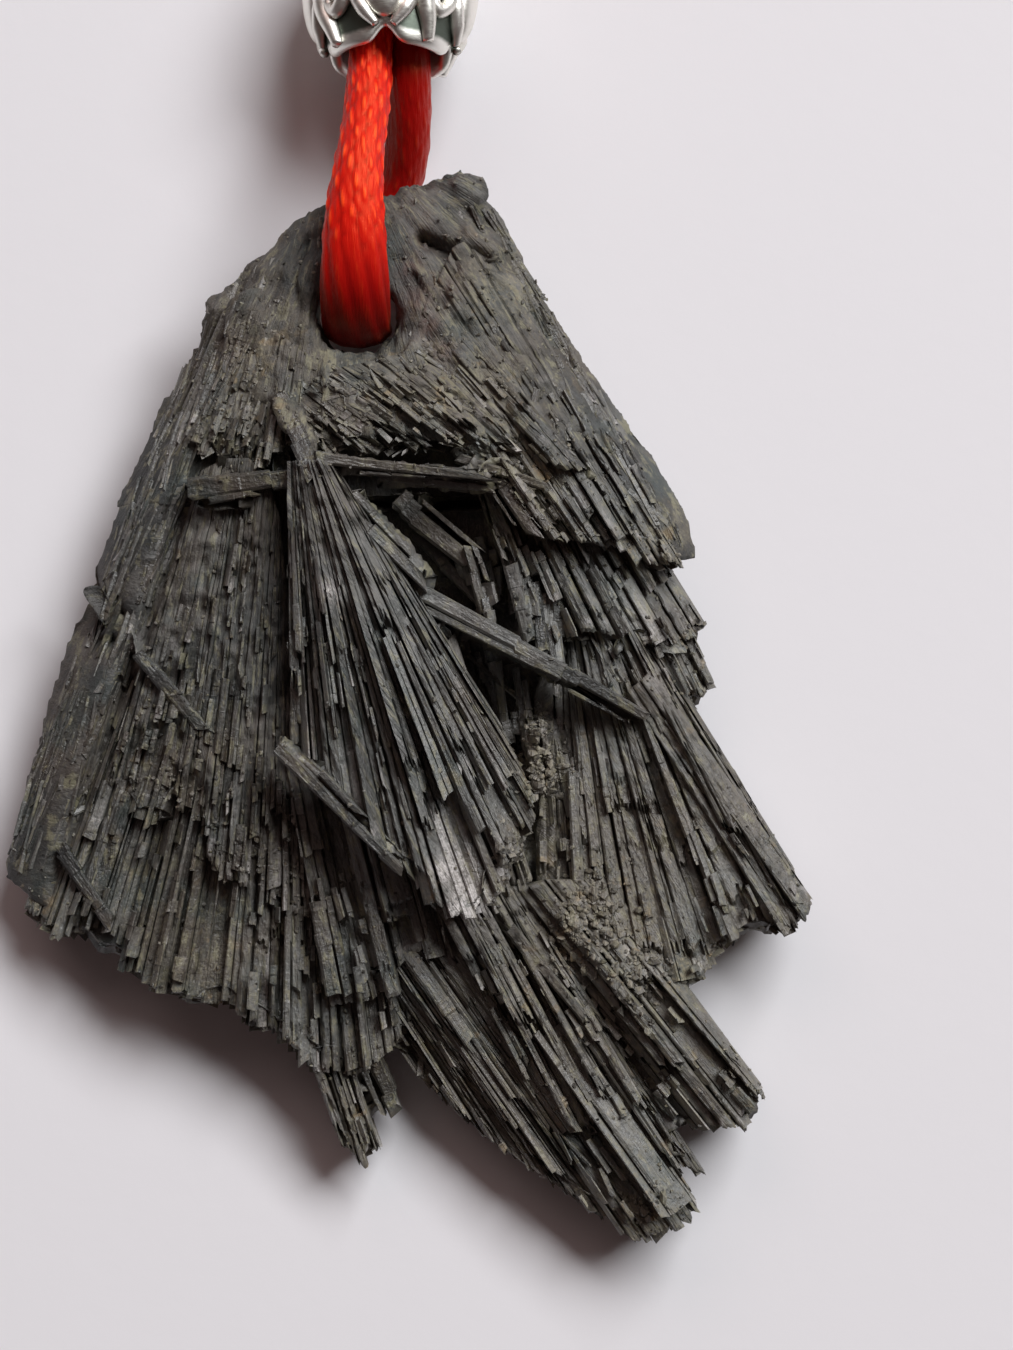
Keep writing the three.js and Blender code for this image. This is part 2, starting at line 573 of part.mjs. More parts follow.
// Silver bead: a sleeve with rolled lips, and scrolls standing on it
function silverBead() {
  const half = beadLength / 2;
  const bore = beadBore / 2;
  const profile = [
    [bore, -half + 0.3], [bore + 0.2, -half], [bore + 0.6, -half], [bore + 0.85, -half + 0.4],
    [bore + 0.7, -half + 0.9], [bore + 1.1, 0], [bore + 0.7, half - 0.9], [bore + 0.85, half - 0.4],
    [bore + 0.6, half], [bore + 0.2, half], [bore, half - 0.3], [bore, -half + 0.3],
  ].map(([r, z]) => new THREE.Vector2(r, z));
  const sleeve = solidOf(new THREE.LatheGeometry(profile, beadSides));
  const wires = Array.from({ length: scrolls }, (_, i) => (
    solidOf(scrollWire((2 * Math.PI * i) / scrolls + 0.2, i % 2 ? 0.5 : -0.5))
  ));
  const mesh = meshOf(joined([sleeve, ...wires]), "silver_bead", silverMaterial);
  mesh.position.set(beadX, beadY, beadZ);
  mesh.rotation.x = -beadTilt;
  return mesh;
}

// The cord from the coil through the bead, over the stone, down its hole and back beneath it
const bendRadius = (cordTop - cordDiameter / 2) / 2 - 0.01;
const bendY = 23.7;
const overTheStone = [
  [-1.5, 48.3, 3.45], [-1.7, 45.4, 3.85], [-1.85, 42.2, 4.4], [-1.92, 38.0, 5.27], [-1.92, 34.0, 6.12],
  [-2.1, 31.2, 7.1], [-2.4, 28.6, 8.1], [-2.6, 26.2, 8.6],
];
const underTheStone = [
  [-2.3, 24.8, 1.17], [-1.4, 26.4, 1.27], [-0.5, 28.2, 1.9], [-0.05, 30.0, 3.1], [0.06, 31.9, 4.2],
  [0.08, 34.0, 4.82], [0.08, 38.0, 3.97], [0.0, 42.2, 3.05], [-0.2, 45.4, 1.75], [-0.3, 48.3, 1.2],
];

function cordPoints() {
  const bend = [];
  for (let turn = 90; turn >= -90; turn -= 30) {
    const angle = THREE.MathUtils.degToRad(turn);
    const z = cordTop - bendRadius + bendRadius * Math.sin(angle);
    bend.push([holeX, bendY - bendRadius * Math.cos(angle), z]);
  }
  return [...overTheStone, ...bend, ...underTheStone].map((point) => new THREE.Vector3(...point));
}

function satinCordLoop() {
  const tube = tubeAlong(cordPoints(), cordDiameter / 2, cordSides, cordSteps);
  return named(tube, "satin_cord_loop", cordMaterial);
}

// The rest of the neck cord, wound up: the outer shape of its turns
function satinCordCoil() {
  const inner = (coilMiddle - coilTurnsWide * cordDiameter) / 2;
  const outer = (coilMiddle + coilTurnsWide * cordDiameter) / 2;
  const height = coilTurnsHigh * cordDiameter;
  const round = 0.35 * cordDiameter;
  const profile = [
    [inner + round, 0], [outer - round, 0], [outer, round], [outer, height - round],
    [outer - round, height], [inner + round, height], [inner, height - round], [inner, round],
    [inner + round, 0],
  ].map(([r, z]) => new THREE.Vector2(r, z));
  const geometry = new THREE.LatheGeometry(profile, coilSides);
  geometry.rotateX(Math.PI / 2);
  geometry.translate(coilX, coilY, 0);
  return named(geometry, "satin_cord_coil", cordMaterial);
}

function satinCordKnot() {
  const geometry = new THREE.IcosahedronGeometry(1, 1);
  geometry.scale(...knotSize);
  geometry.translate(...knotAt);
  return named(geometry, "satin_cord_knot", cordMaterial);
}

const object = new THREE.Group();
object.add(kyaniteFan());
object.add(silverBead());
object.add(satinCordLoop());
object.add(satinCordCoil());
object.add(satinCordKnot());

export default object;
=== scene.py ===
import bpy
import bmesh
import itertools
import math
import numpy as np
from mathutils import Matrix, Vector
from mathutils.bvhtree import BVHTree


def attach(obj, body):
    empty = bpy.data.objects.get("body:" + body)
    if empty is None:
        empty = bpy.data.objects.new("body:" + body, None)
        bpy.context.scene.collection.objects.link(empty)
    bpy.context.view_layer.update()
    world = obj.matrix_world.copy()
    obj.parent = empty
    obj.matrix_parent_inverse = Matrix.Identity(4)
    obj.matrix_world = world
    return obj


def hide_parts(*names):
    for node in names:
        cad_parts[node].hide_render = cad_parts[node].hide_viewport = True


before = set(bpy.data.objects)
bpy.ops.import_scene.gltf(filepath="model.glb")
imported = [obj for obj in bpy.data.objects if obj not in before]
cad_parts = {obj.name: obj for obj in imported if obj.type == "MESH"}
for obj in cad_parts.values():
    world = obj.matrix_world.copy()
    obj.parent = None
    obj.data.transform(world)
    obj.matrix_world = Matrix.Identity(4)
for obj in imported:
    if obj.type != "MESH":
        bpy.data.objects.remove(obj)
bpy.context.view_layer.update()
mm = 0.001
scene = bpy.context.scene
scene.view_settings.view_transform = "Standard"

# camera, straight above the stone

cameraPlan = {
    "over": (5.24, 1.68),  # mm, the point of the floor it looks down on
    "height": 190.0,
    "frameLong": 71.05,  # what the long side of the view covers
    "seenAt": 6.0,  # at this height above the floor
    "sensor": 36.0,
}


def makeCamera(plan):
    data = bpy.data.cameras.new("overheadCamera")
    data.sensor_width = plan["sensor"]
    data.lens = plan["sensor"] * (plan["height"] - plan["seenAt"]) / plan["frameLong"]
    data.clip_start = 0.01
    data.clip_end = 10.0
    camera = bpy.data.objects.new("overheadCamera", data)
    camera.location = (plan["over"][0] * mm, plan["over"][1] * mm, plan["height"] * mm)
    scene.collection.objects.link(camera)
    scene.camera = camera


makeCamera(cameraPlan)
print("camera ready")

# helpers that every piece shares


def meshFrom(name, points, polygons, material, smooth=False, attributes=None):
    # polygons is a list of index arrays, each (count, corners)
    mesh = bpy.data.meshes.new(name)
    mesh.vertices.add(len(points))
    mesh.vertices.foreach_set("co", np.asarray(points, dtype=np.float32).ravel())
    corners = np.concatenate([p.ravel() for p in polygons]).astype(np.int32)
    sizes = np.concatenate([np.full(len(p), p.shape[1], dtype=np.int32) for p in polygons])
    mesh.loops.add(len(corners))
    mesh.loops.foreach_set("vertex_index", corners)
    mesh.polygons.add(len(sizes))
    mesh.polygons.foreach_set("loop_start", np.concatenate([[0], np.cumsum(sizes)[:-1]]).astype(np.int32))
    mesh.polygons.foreach_set("loop_total", sizes)
    mesh.update(calc_edges=True)
    mesh.polygons.foreach_set("use_smooth", np.broadcast_to(smooth, len(sizes)))
    for key, values in (attributes or {}).items():
        addAttribute(mesh, key, values)
    mesh.materials.append(material)
    piece = bpy.data.objects.new(name, mesh)
    scene.collection.objects.link(piece)
    return piece


def addAttribute(mesh, key, values):
    flat = np.asarray(values, dtype=np.float32)
    if flat.ndim == 2:
        mesh.attributes.new(key, "FLOAT_VECTOR", "POINT").data.foreach_set("vector", flat.ravel())
    else:
        mesh.attributes.new(key, "FLOAT", "POINT").data.foreach_set("value", flat)


def ringQuads(rings, sides):
    low = np.arange(rings - 1)[:, None] * sides
    side = np.arange(sides)[None, :]
    after = (side + 1) % sides
    quads = np.stack([low + side, low + after, low + sides + after, low + sides + side], axis=-1)
    return quads.reshape(-1, 4)


def smoothStep(low, high, value):
    t = np.clip((value - low) / (high - low), 0.0, 1.0)
    return t * t * (3.0 - 2.0 * t)


def unit(vectors):
    return vectors / np.maximum(np.linalg.norm(vectors, axis=-1), 1e-9)[..., None]


def material(name):
    made = bpy.data.materials.new(name)
    made.use_nodes = True
    tree = made.node_tree
    return made, tree, tree.nodes["Principled BSDF"]


def nodeIn(tree, kind, **settings):
    node = tree.nodes.new(kind)
    for key, value in settings.items():
        setattr(node, key, value)
    return node


def mathNode(tree, operation, first, second, clamp=False):
    node = nodeIn(tree, "ShaderNodeMath", operation=operation, use_clamp=clamp)
    for socket, value in zip(node.inputs, (first, second)):
        if isinstance(value, float):
            socket.default_value = value
        else:
            tree.links.new(value, socket)
    return node.outputs[0]


def added(tree, first, second):
    return mathNode(tree, "ADD", first, second)


def scaled(tree, value, by, clamp=False):
    return mathNode(tree, "MULTIPLY", value, by, clamp)


def painted(tree, name, output="Fac"):
    # a value that the mesh carries at each of its points
    return nodeIn(tree, "ShaderNodeAttribute", attribute_name=name).outputs[output]


def noiseNode(tree, vector, size, detail, roughness=0.55):
    node = nodeIn(tree, "ShaderNodeTexNoise")
    node.inputs["Scale"].default_value = 1.0 / size
    node.inputs["Detail"].default_value = detail
    node.inputs["Roughness"].default_value = roughness
    tree.links.new(vector, node.inputs["Vector"])
    return node.outputs["Fac"]


def stretched(tree, vector, scale):
    node = nodeIn(tree, "ShaderNodeVectorMath", operation="MULTIPLY")
    tree.links.new(vector, node.inputs[0])
    node.inputs[1].default_value = scale
    return node.outputs[0]


def between(tree, value, low, high, toLow=0.0, toHigh=1.0):
    node = nodeIn(tree, "ShaderNodeMapRange", interpolation_type="SMOOTHSTEP")
    tree.links.new(value, node.inputs["Value"])
    for key, number in (("From Min", low), ("From Max", high), ("To Min", toLow), ("To Max", toHigh)):
        node.inputs[key].default_value = number
    return node.outputs["Result"]


def colourMix(tree, share, first, second):
    node = nodeIn(tree, "ShaderNodeMix", data_type="RGBA")
    sockets = {s.identifier: s for s in node.inputs}
    tree.links.new(share, sockets["Factor_Float"])
    for key, value in (("A_Color", first), ("B_Color", second)):
        if isinstance(value, tuple):
            sockets[key].default_value = (*value, 1.0)
        else:
            tree.links.new(value, sockets[key])
    return next(s for s in node.outputs if s.identifier == "Result_Color")


def bumpNode(tree, height, distance, strength, over=None):
    node = nodeIn(tree, "ShaderNodeBump")
    node.inputs["Distance"].default_value = distance
    node.inputs["Strength"].default_value = strength
    tree.links.new(height, node.inputs["Height"])
    if over is not None:
        tree.links.new(over, node.inputs["Normal"])
    return node.outputs["Normal"]


def setFinish(tree, shader, settings):
    # each setting is a fixed value or the output of a node
    for key, value in settings.items():
        if isinstance(value, bpy.types.NodeSocket):
            tree.links.new(value, shader.inputs[key])
        else:
            shader.inputs[key].default_value = value


# satin cord, one length doubled through the hole and the bead, wound up past the bead and tied

cordPlan = {
    "diameter": 0.0023,
    "overTheStone": [  # from the turns to the hole
        (-0.0015, 0.0483, 0.00345), (-0.0017, 0.0454, 0.00385), (-0.00185, 0.0422, 0.0044),
        (-0.00192, 0.0380, 0.00527), (-0.00192, 0.0340, 0.00612), (-0.0021, 0.0312, 0.0071),
        (-0.0024, 0.0286, 0.0081), (-0.0026, 0.0262, 0.0086),
    ],
    "hole": (-0.00265, 0.0237),  # where the cord turns over the hole's edge
    "cordTop": 0.00865,
    "underTheStone": [
        (-0.0023, 0.0248, 0.00117), (-0.0014, 0.0264, 0.00127), (-0.0005, 0.0282, 0.0019),
        (-0.00005, 0.0300, 0.0031), (0.00006, 0.0319, 0.0042), (0.00008, 0.0340, 0.00482),
        (0.00008, 0.0380, 0.00397), (0.0, 0.0422, 0.00305), (-0.0002, 0.0454, 0.00175),
        (-0.0003, 0.0483, 0.0012),
    ],
    "coilCentre": (0.008, 0.064),
    "outerTurn": 0.0161,
    "innerTurn": 0.0115,
    "fullTurns": 2,
    "pointsPerTurn": 24,
    "joinBend": (0.007, 0.005),  # radius at which each leg swings into the turns
    "layers": (0.00345, 0.00115),  # height of each leg's turns
    "knot": (0.00305, 0.05905, 0.0022),
    "knotSide": -113,  # degrees round the coil at which the ends come in to the knot
    "drawIn": 0.0060,  # how far inside the inner turn the knot lies
    "bead": (-0.0009, 0.0423, 0.0037),  # where the cord leaves the bead
    "seenTo": 0.0395,  # y up to which the cord is finely braided, the rest is plain
    "rings": (0.00015, 0.0011),  # distance between rings where it is braided and where it is plain
    "sides": 90,
    "beadFrom": (0.0325, 0.0345),  # y over which the bead comes to hold the cord tight
    "beadTo": (0.044, 0.0425),
    "squeezed": 0.06,
    "spreadFrom": (0.0305, 0.0215),  # y over which it spreads out flat towards the hole
    "spread": 0.54,
    "flatFrom": (0.033, 0.027),
    "flat": 0.12,
    "drawnFrom": (0.0262, 0.0222),  # y over which the braid is drawn smooth on its way into the hole
    "paintedShadeFrom": (0.0262, 0.0195),
    "paintedShade": (0.85, 0.68),  # depth of the painted shade at the hole and on the leg under the stone
    "wales": 22,  # columns of slivers round the cord
    "lean": 0.42,  # how far a column winds round for each sliver, in columns
    "stagger": 0.618,  # how far each column starts beyond its neighbour, in slivers
    "stitch": 0.00125,  # length of one sliver
    "relief": 0.00012,  # how far slivers stand out
}


def coilLeg(plan, start, bend, z):
    # from where the leg meets the turns, round them and in to the knot
    centre = Vector((*plan["coilCentre"], z))
    outer, inner = plan["outerTurn"], plan["innerTurn"]
    turns, perTurn = plan["fullTurns"], plan["pointsPerTurn"]
    swing = math.acos((centre.x - start[0] + bend) / (outer + bend))
    low = centre.y - (outer + bend) * math.sin(swing)
    points = []
    for turn in (swing / 2, swing):
        points.append(Vector((start[0] - bend * (1 - math.cos(turn)), low + bend * math.sin(turn), z)))

    def pointAt(angle, radius):
        return centre + radius * Vector((math.cos(angle), math.sin(angle), 0))

    join = math.pi + swing
    for i in range(1, turns * perTurn + 1):
        radius = outer + (inner - outer) * i / (turns * perTurn)
        points.append(pointAt(join - 2 * math.pi * i / perTurn, radius))
    # the last part turn runs on at the inner radius, then draws in to the knot
    last = join - 2 * math.pi * turns
    sweep = last - math.radians(plan["knotSide"] - 360)
    for i in range(1, perTurn + 1):
        share = i / perTurn
        radius = inner - plan["drawIn"] * float(smoothStep(0.35, 1.0, share))
        points.append(pointAt(last - sweep * share, radius))
    return points


def cordRoute(plan):
    clearance = 0.00001
    radius = (plan["cordTop"] - plan["diameter"] / 2) / 2 - clearance
    over = [Vector(p) for p in plan["overTheStone"]]
    under = [Vector(p) for p in plan["underTheStone"]]
    bend = []
    for degrees in range(90, -91, -30):
        angle = math.radians(degrees)
        height = plan["cordTop"] - radius + radius * math.sin(angle)
        bend.append(Vector((plan["hole"][0], plan["hole"][1] - radius * math.cos(angle), height)))
    first = coilLeg(plan, over[0], plan["joinBend"][0], plan["layers"][0])
    second = coilLeg(plan, under[-1], plan["joinBend"][1], plan["layers"][1])
    return list(reversed(first)) + over[1:] + bend + under[:-1] + second


def alongCurve(points, spacing):
    # a smooth line through the points, cut at distances that spacing gives for each place
    given = np.array([tuple(v) for v in points])
    given = np.vstack([2 * given[0] - given[1], given, 2 * given[-1] - given[-2]])
    t = np.linspace(0, 1, 24, endpoint=False)[:, None]
    line = []
    for before, a, b, after in zip(given[:-3], given[1:-2], given[2:-1], given[3:]):
        square = 2 * before - 5 * a + 4 * b - after
        cube = 3 * a - before - 3 * b + after
        line.append(0.5 * (2 * a + (b - before) * t + square * t**2 + cube * t**3))
    line = np.vstack(line + [given[-2][None]])
    far = np.concatenate([[0], np.cumsum(np.linalg.norm(np.diff(line, axis=0), axis=1))])
    places = [0.0]
    while places[-1] < far[-1]:
        here = np.array([np.interp(places[-1], far, line[:, i]) for i in range(3)])
        places.append(places[-1] + spacing(here))
    places = np.array(places[:-1] + [far[-1]])
    return np.stack([np.interp(places, far, line[:, i]) for i in range(3)], axis=1), places


def carriedFrames(line, start, side):
    # side directions carried along the line from one place, without twist
    tangent = unit(np.gradient(line, axis=0))
    sides = np.zeros_like(line)
    for order in (range(start, len(line)), range(start, -1, -1)):
        carried = np.array(side, dtype=float)
        for i in order:
            carried = carried - tangent[i] * carried.dot(tangent[i])
            carried /= np.linalg.norm(carried)
            sides[i] = carried
    return sides, np.cross(tangent, sides)


def satinMaterial():
    look = {
        "red": (0.66, 0.009, 0.005),
        # bright is a painted highlight on the slivers, deep is painted shade in the hollows between them
        "bright": (1.0, 0.07, 0.014),
        "deep": (0.36, 0.003, 0.003),
        "maroon": (0.15, 0.0012, 0.003),
        "gleam": (1.0, 0.28, 0.1),
    }
    made, tree, shader = material("satinCord")
    grain = painted(tree, "grain", "Vector")
    relief = painted(tree, "relief")
    threads = noiseNode(tree, stretched(tree, grain, (11.0, 1.1, 1.0)), 1.0, 3.0)
    fibre = noiseNode(tree, stretched(tree, grain, (32.0, 2.2, 1.0)), 1.0, 2.0)
    # painted highlight: bright orange on the crowns of the slivers and threads
    paintedHighlight = between(tree, added(tree, relief, scaled(tree, threads, 0.7)), 0.88, 1.36)
    # painted shade: deep red in the hollows between the slivers
    colour = colourMix(tree, between(tree, relief, 0.0, 0.4), look["deep"], look["red"])
    colour = colourMix(tree, paintedHighlight, colour, look["bright"])
    # painted shade: the cord goes maroon at the hole and on the leg under the stone
    colour = colourMix(tree, painted(tree, "paintedShade"), colour, look["maroon"])
    setFinish(tree, shader, {
        "Base Color": colour,
        "Roughness": between(tree, fibre, 0.3, 0.7, 0.26, 0.42),
        "Specular IOR Level": 0.6,
        "Specular Tint": (*look["gleam"], 1.0),
        "Sheen Weight": 0.1,
        "Sheen Roughness": 0.35,
        "Sheen Tint": (*look["gleam"], 1.0),
        "Normal": bumpNode(tree, added(tree, threads, scaled(tree, fibre, 0.5)), 0.00006, 0.55),
    })
    return made


def braidHeight(plan, far, angle):
    # slivers in staggered columns on a common ground, and the threads where they are drawn smooth
    wales = plan["wales"]
    along = far / plan["stitch"]
    across = angle / (2 * math.pi) * wales + plan["lean"] * along + 0.12 * np.sin(along * 2.3 + 2 * angle)
    column = np.floor(across)
    along = along + plan["stagger"] * (column % wales) + 0.1 * np.sin(5 * angle - along * 1.9)
    sliver = np.sin(math.pi * (across - column)) * np.sin(math.pi * (along - np.floor(along))) ** 0.8
    fullness = 0.5 + 0.5 * np.sin(12.9 * (column % wales) + 78.2 * np.floor(along))
    threads = 0.5 + 0.5 * np.cos(10 * angle + 1.5 * far / plan["stitch"])
    return np.maximum(sliver * (0.6 + 0.55 * fullness), 0.12 + 0.2 * threads), 0.1 + 0.55 * threads


def satinCord(plan, finish):
    seenTo, radius, sides = plan["seenTo"], plan["diameter"] / 2, plan["sides"]
    fine, plain = plan["rings"]
    line, far = alongCurve(cordRoute(plan), lambda place: fine if place[1] < seenTo else plain)
    middle = int(np.argmin(line[:, 1] + np.where(line[:, 1] < seenTo, 0, 1)))
    side, up = carriedFrames(line, middle, (1, 0, 0))
    rings = len(line)
    y, z = line[:, 1], line[:, 2]
    onTop = smoothStep(0.001, 0.004, z)
    inBead = smoothStep(*plan["beadFrom"], y) * smoothStep(*plan["beadTo"], y)
    spread = plan["spread"] * smoothStep(*plan["spreadFrom"], y) * onTop
    wide = radius * (1.03 + spread - plan["squeezed"] * inBead)
    thick = radius * (0.96 - plan["flat"] * smoothStep(*plan["flatFrom"], y) * onTop)
    angle = (math.pi + 2 * math.pi * np.arange(sides) / sides)[None, :]
    slivers, threads = braidHeight(plan, far[:, None], angle)
    drawn = smoothStep(*plan["drawnFrom"], y)[:, None] * onTop[:, None]
    coarse = smoothStep(seenTo, seenTo + 0.002, y)[:, None]
    under = (np.arange(rings) > middle) & (y < seenTo)
    height = slivers * (1 - drawn) * (1 - coarse) + threads * drawn + 0.5 * coarse
    height = 0.5 + (height - 0.5) * (1 - 0.5 * under[:, None])
    grow = 1 + (height - 0.5) * plan["relief"] / radius
    ringX = wide[:, None] * np.cos(angle) * grow
    ringZ = thick[:, None] * np.sin(angle) * grow
    points = line[:, None, :] + side[:, None, :] * ringX[..., None] + up[:, None, :] * ringZ[..., None]
    points[..., 2] = np.maximum(points[..., 2], 0.00002)
    caps = [np.arange(sides)[None, ::-1], (rings - 1) * sides + np.arange(sides)[None, :]]
    roundIt = np.arange(sides)[None, :] / sides * 9.0
    grain = np.stack(np.broadcast_arrays(roundIt, far[:, None] / mm, 0.0 * angle), axis=-1)
    # painted shade: maroon where the cord goes into the hole, and on the leg under the stone
    atHole, underStone = plan["paintedShade"]
    paintedShade = atHole * smoothStep(*plan["paintedShadeFrom"], y) * onTop
    paintedShade = paintedShade + underStone * smoothStep(middle + 8, middle + 20, np.arange(rings)) * under
    piece = meshFrom("satin_cord", points.reshape(-1, 3), [ringQuads(rings, sides), *caps], finish, True, {
        "grain": grain.reshape(-1, 3),
        "relief": height.ravel(),
        "paintedShade": np.repeat(paintedShade, sides),
    })
    return piece, line, far[-1]


def outwards(piece):
    # turns the faces out if the closed mesh came out inside out
    made = bmesh.new()
    made.from_mesh(piece.data)
    if made.calc_volume(signed=True) < 0:
        bmesh.ops.reverse_faces(made, faces=made.faces)
        made.to_mesh(piece.data)
    made.free()


def cordKnot(plan, finish):
    # the two ends tied in one tight knot
    shape = {
        "reach": 0.00172,
        "loop": 0.00078,
        "pulled": (1.12, 0.96, 1.35),  # how far the loops are pulled out along x, y and z
        "cord": 0.00098,
        "wale": 0.05,
        "steps": 220,
        "sides": 36,
    }
    steps, sides = shape["steps"], shape["sides"]
    centre = np.array(plan["knot"])
    t = np.linspace(0, 2 * math.pi, steps, endpoint=False)
    out = shape["reach"] + shape["loop"] * np.cos(3 * t)
    line = np.stack([out * np.cos(2 * t), out * np.sin(2 * t), shape["loop"] * np.sin(3 * t)], axis=1)
    line = line * np.array(shape["pulled"]) + centre
    tangent = unit(np.roll(line, -1, axis=0) - np.roll(line, 1, axis=0))
    outward = line - centre
    outward = unit(outward - tangent * (outward * tangent).sum(1)[:, None])
    side = np.cross(tangent, outward)
    angle = 2 * math.pi * np.arange(sides) / sides
    ridges = np.abs(np.cos(4 * angle))
    wale = 1 + shape["wale"] * ridges
    across, up = np.cos(angle) * wale, np.sin(angle) * wale
    ring = outward[:, None] * across[:, None] + side[:, None] * up[:, None]
    points = line[:, None] + ring * shape["cord"]
    points[..., 2] = np.maximum(points[..., 2], 0.00003)
    quads = ringQuads(steps + 1, sides) % (steps * sides)
    grain = np.stack(np.broadcast_arrays(angle / (2 * math.pi) * 7, t[:, None] * 3.4, 0.0 * angle), axis=-1)
    return meshFrom("satin_knot", points.reshape(-1, 3), [quads], finish, True, {
        "grain": grain.reshape(-1, 3),
        # the ridges' relief also sets the painted highlight and painted shade of the satin
        "relief": np.tile(0.4 + 0.4 * ridges, steps),
    })


satin = satinMaterial()
cord, cordLine, cordLength = satinCord(cordPlan, satin)
outwards(cord)
knot = cordKnot(cordPlan, satin)
outwards(knot)
print("cord ready,", round(cordLength, 4), "m long")

# silver bead: a cast sleeve with scrolls and small domes standing on its darkened wall

beadPlan = {
    "middle": (-0.92, 38.1, 4.62),  # mm
    "tilt": 0.22,  # radians, mouth up
    "bore": 2.65,
    "width": 8.9,
    "length": 8.6,
    "narrowing": 0.7,  # how much slimmer the bead is at its lips
    "standing": 0.5,  # how far the ornament stands on the wall
    "lip": [(0.0, 0.5), (0.03, 0.2), (0.14, 0.04), (0.3, 0.0), (0.46, 0.05), (0.58, 0.2), (0.66, 0.5),
            (0.74, 0.9)],  # out from the bore and in from the end
    "wallAt": (-2.9, -2.2, -1.5, -0.8, 0.0),  # along the bead, up to its middle
    "turns": 144,
    "repeats": 4,  # times the ornament goes round
    "petalTurn": 1.62,  # radians, where the first petal stands
    "petal": (1.5, 3.15, 1.05),  # half width, half length and height
    "notch": (0.9, 0.14),  # how far the lips dip at each petal, and its reach in radians
    "scroll": [(0.3, -4.1), (0.55, -3.2), (0.95, -2.0), (0.75, -0.9), (0.0, -0.55), (-0.8, -1.0),
               (-0.85, -1.9), (-0.2, -2.45), (0.35, -2.1), (0.35, -1.6), (0.0, -1.45)],
    "scrollHalf": (0.3, 0.5, 0.6, 0.58, 0.48, 0.38, 0.28),  # half width of its wire, from end to end
    "leaf": [(1.95, -0.9), (1.75, -1.9), (1.2, -2.8), (0.55, -3.5)],
    "leafHalf": (0.22, 0.42, 0.42, 0.22),
    "ball": 0.42,
    "wireSides": 12,
    "lowest": 0.02,
}


def silverMaterial():
    look = {
        "bright": (0.94, 0.92, 0.86),
        "soft": (0.82, 0.81, 0.74),
        "dark": (0.13, 0.15, 0.125),
    }
    made, tree, shader = material("silver")
    place = nodeIn(tree, "ShaderNodeTexCoord").outputs["Object"]
    patches = noiseNode(tree, place, 0.0011, 3.0)
    scratches = noiseNode(tree, stretched(tree, place, (1.0, 6.0, 1.0)), 0.0003, 4.0)
    colour = colourMix(tree, between(tree, patches, 0.42, 0.68), look["bright"], look["soft"])
    dark = between(tree, added(tree, painted(tree, "tarnish"), scaled(tree, patches, 0.5)), 0.42, 0.95)
    setFinish(tree, shader, {
        "Base Color": colourMix(tree, dark, colour, look["dark"]),
        "Roughness": added(tree, between(tree, scratches, 0.3, 0.75, 0.36, 0.5), scaled(tree, dark, 0.08)),
        "Metallic": 1.0,
        "Normal": bumpNode(tree, noiseNode(tree, place, 0.0008, 2.0), 0.00002, 0.2),
    })
    return made


def onBead(plan, turn, along, out):
    # a point of the bead, in mm: turn round its axis, distance along it and out from it
    local = Vector((math.cos(turn) * out, along, math.sin(turn) * out))
    return Matrix.Rotation(-plan["tilt"], 3, "X") @ local + Vector(plan["middle"])


def barrel(plan, along):
    share = along / (plan["length"] / 2)
    return plan["width"] / 2 - plan["standing"] - plan["narrowing"] * share * share


def beadSleeve(plan, finish):
    half, turns = plan["length"] / 2, plan["turns"]
    lip = [(out, inward - half) for out, inward in plan["lip"]]
    wall = [(barrel(plan, along) - plan["bore"] - 0.12, along) for along in plan["wallAt"]]
    outline = lip + wall + [(out, -along) for out, along in reversed(lip + wall[:-1])]
    deep, reach = plan["notch"]
    step = 2 * math.pi / plan["repeats"]
    points = []
    for i in range(turns):
        turn = 2 * math.pi * i / turns
        off = (turn - plan["petalTurn"] + step / 2) % step - step / 2
        dip = deep * math.exp(-((off / reach) ** 2) / 2)
        for out, along in outline:
            moved = dip * float(smoothStep(half - 1.8, half, abs(along)))
            points.append(onBead(plan, turn, along - math.copysign(moved, along), plan["bore"] + out) * mm)
    sides = len(outline)
    quads = ringQuads(turns + 1, sides) % (turns * sides)
    tarnish = [0.9 * float(smoothStep(half - 0.35, half - 0.8, abs(along))) for out, along in outline]
    return meshFrom("bead_sleeve", points, [quads], finish, True, {"tarnish": np.tile(tarnish, turns)})


def wireOnBead(plan, turn, path, widths):
    # a round wire along path, a list of (across, along) in mm, with half widths from end to end
    sides = plan["wireSides"]
    line, far = alongCurve([(a, b, 0.0) for a, b in path], lambda place: 0.11)
    half = np.interp(far / far[-1], np.linspace(0, 1, len(widths)), widths)[:, None, None]
    rings = [(turn + a / (plan["width"] / 2), b, barrel(plan, b) + 0.05) for a, b in line[:, :2]]
    points = np.array([tuple(onBead(plan, *ring)) for ring in rings])
    outs = np.array([tuple(onBead(plan, t, b, out + 1)) for t, b, out in rings]) - points
    side = unit(np.cross(unit(np.gradient(points, axis=0)), outs))
    angle = 2 * math.pi * np.arange(sides) / sides
    ring = side[:, None] * np.cos(angle)[None, :, None] + outs[:, None] * np.sin(angle)[None, :, None] * 1.1
    made = (points[:, None] + ring * half).reshape(-1, 3)
    caps = [np.arange(sides)[None, ::-1], (len(rings) - 1) * sides + np.arange(sides)[None, :]]
    foot = np.tile(0.8 * smoothStep(0.1, -0.6, np.sin(angle)), len(rings))
    return made, [ringQuads(len(rings), sides), *caps], foot


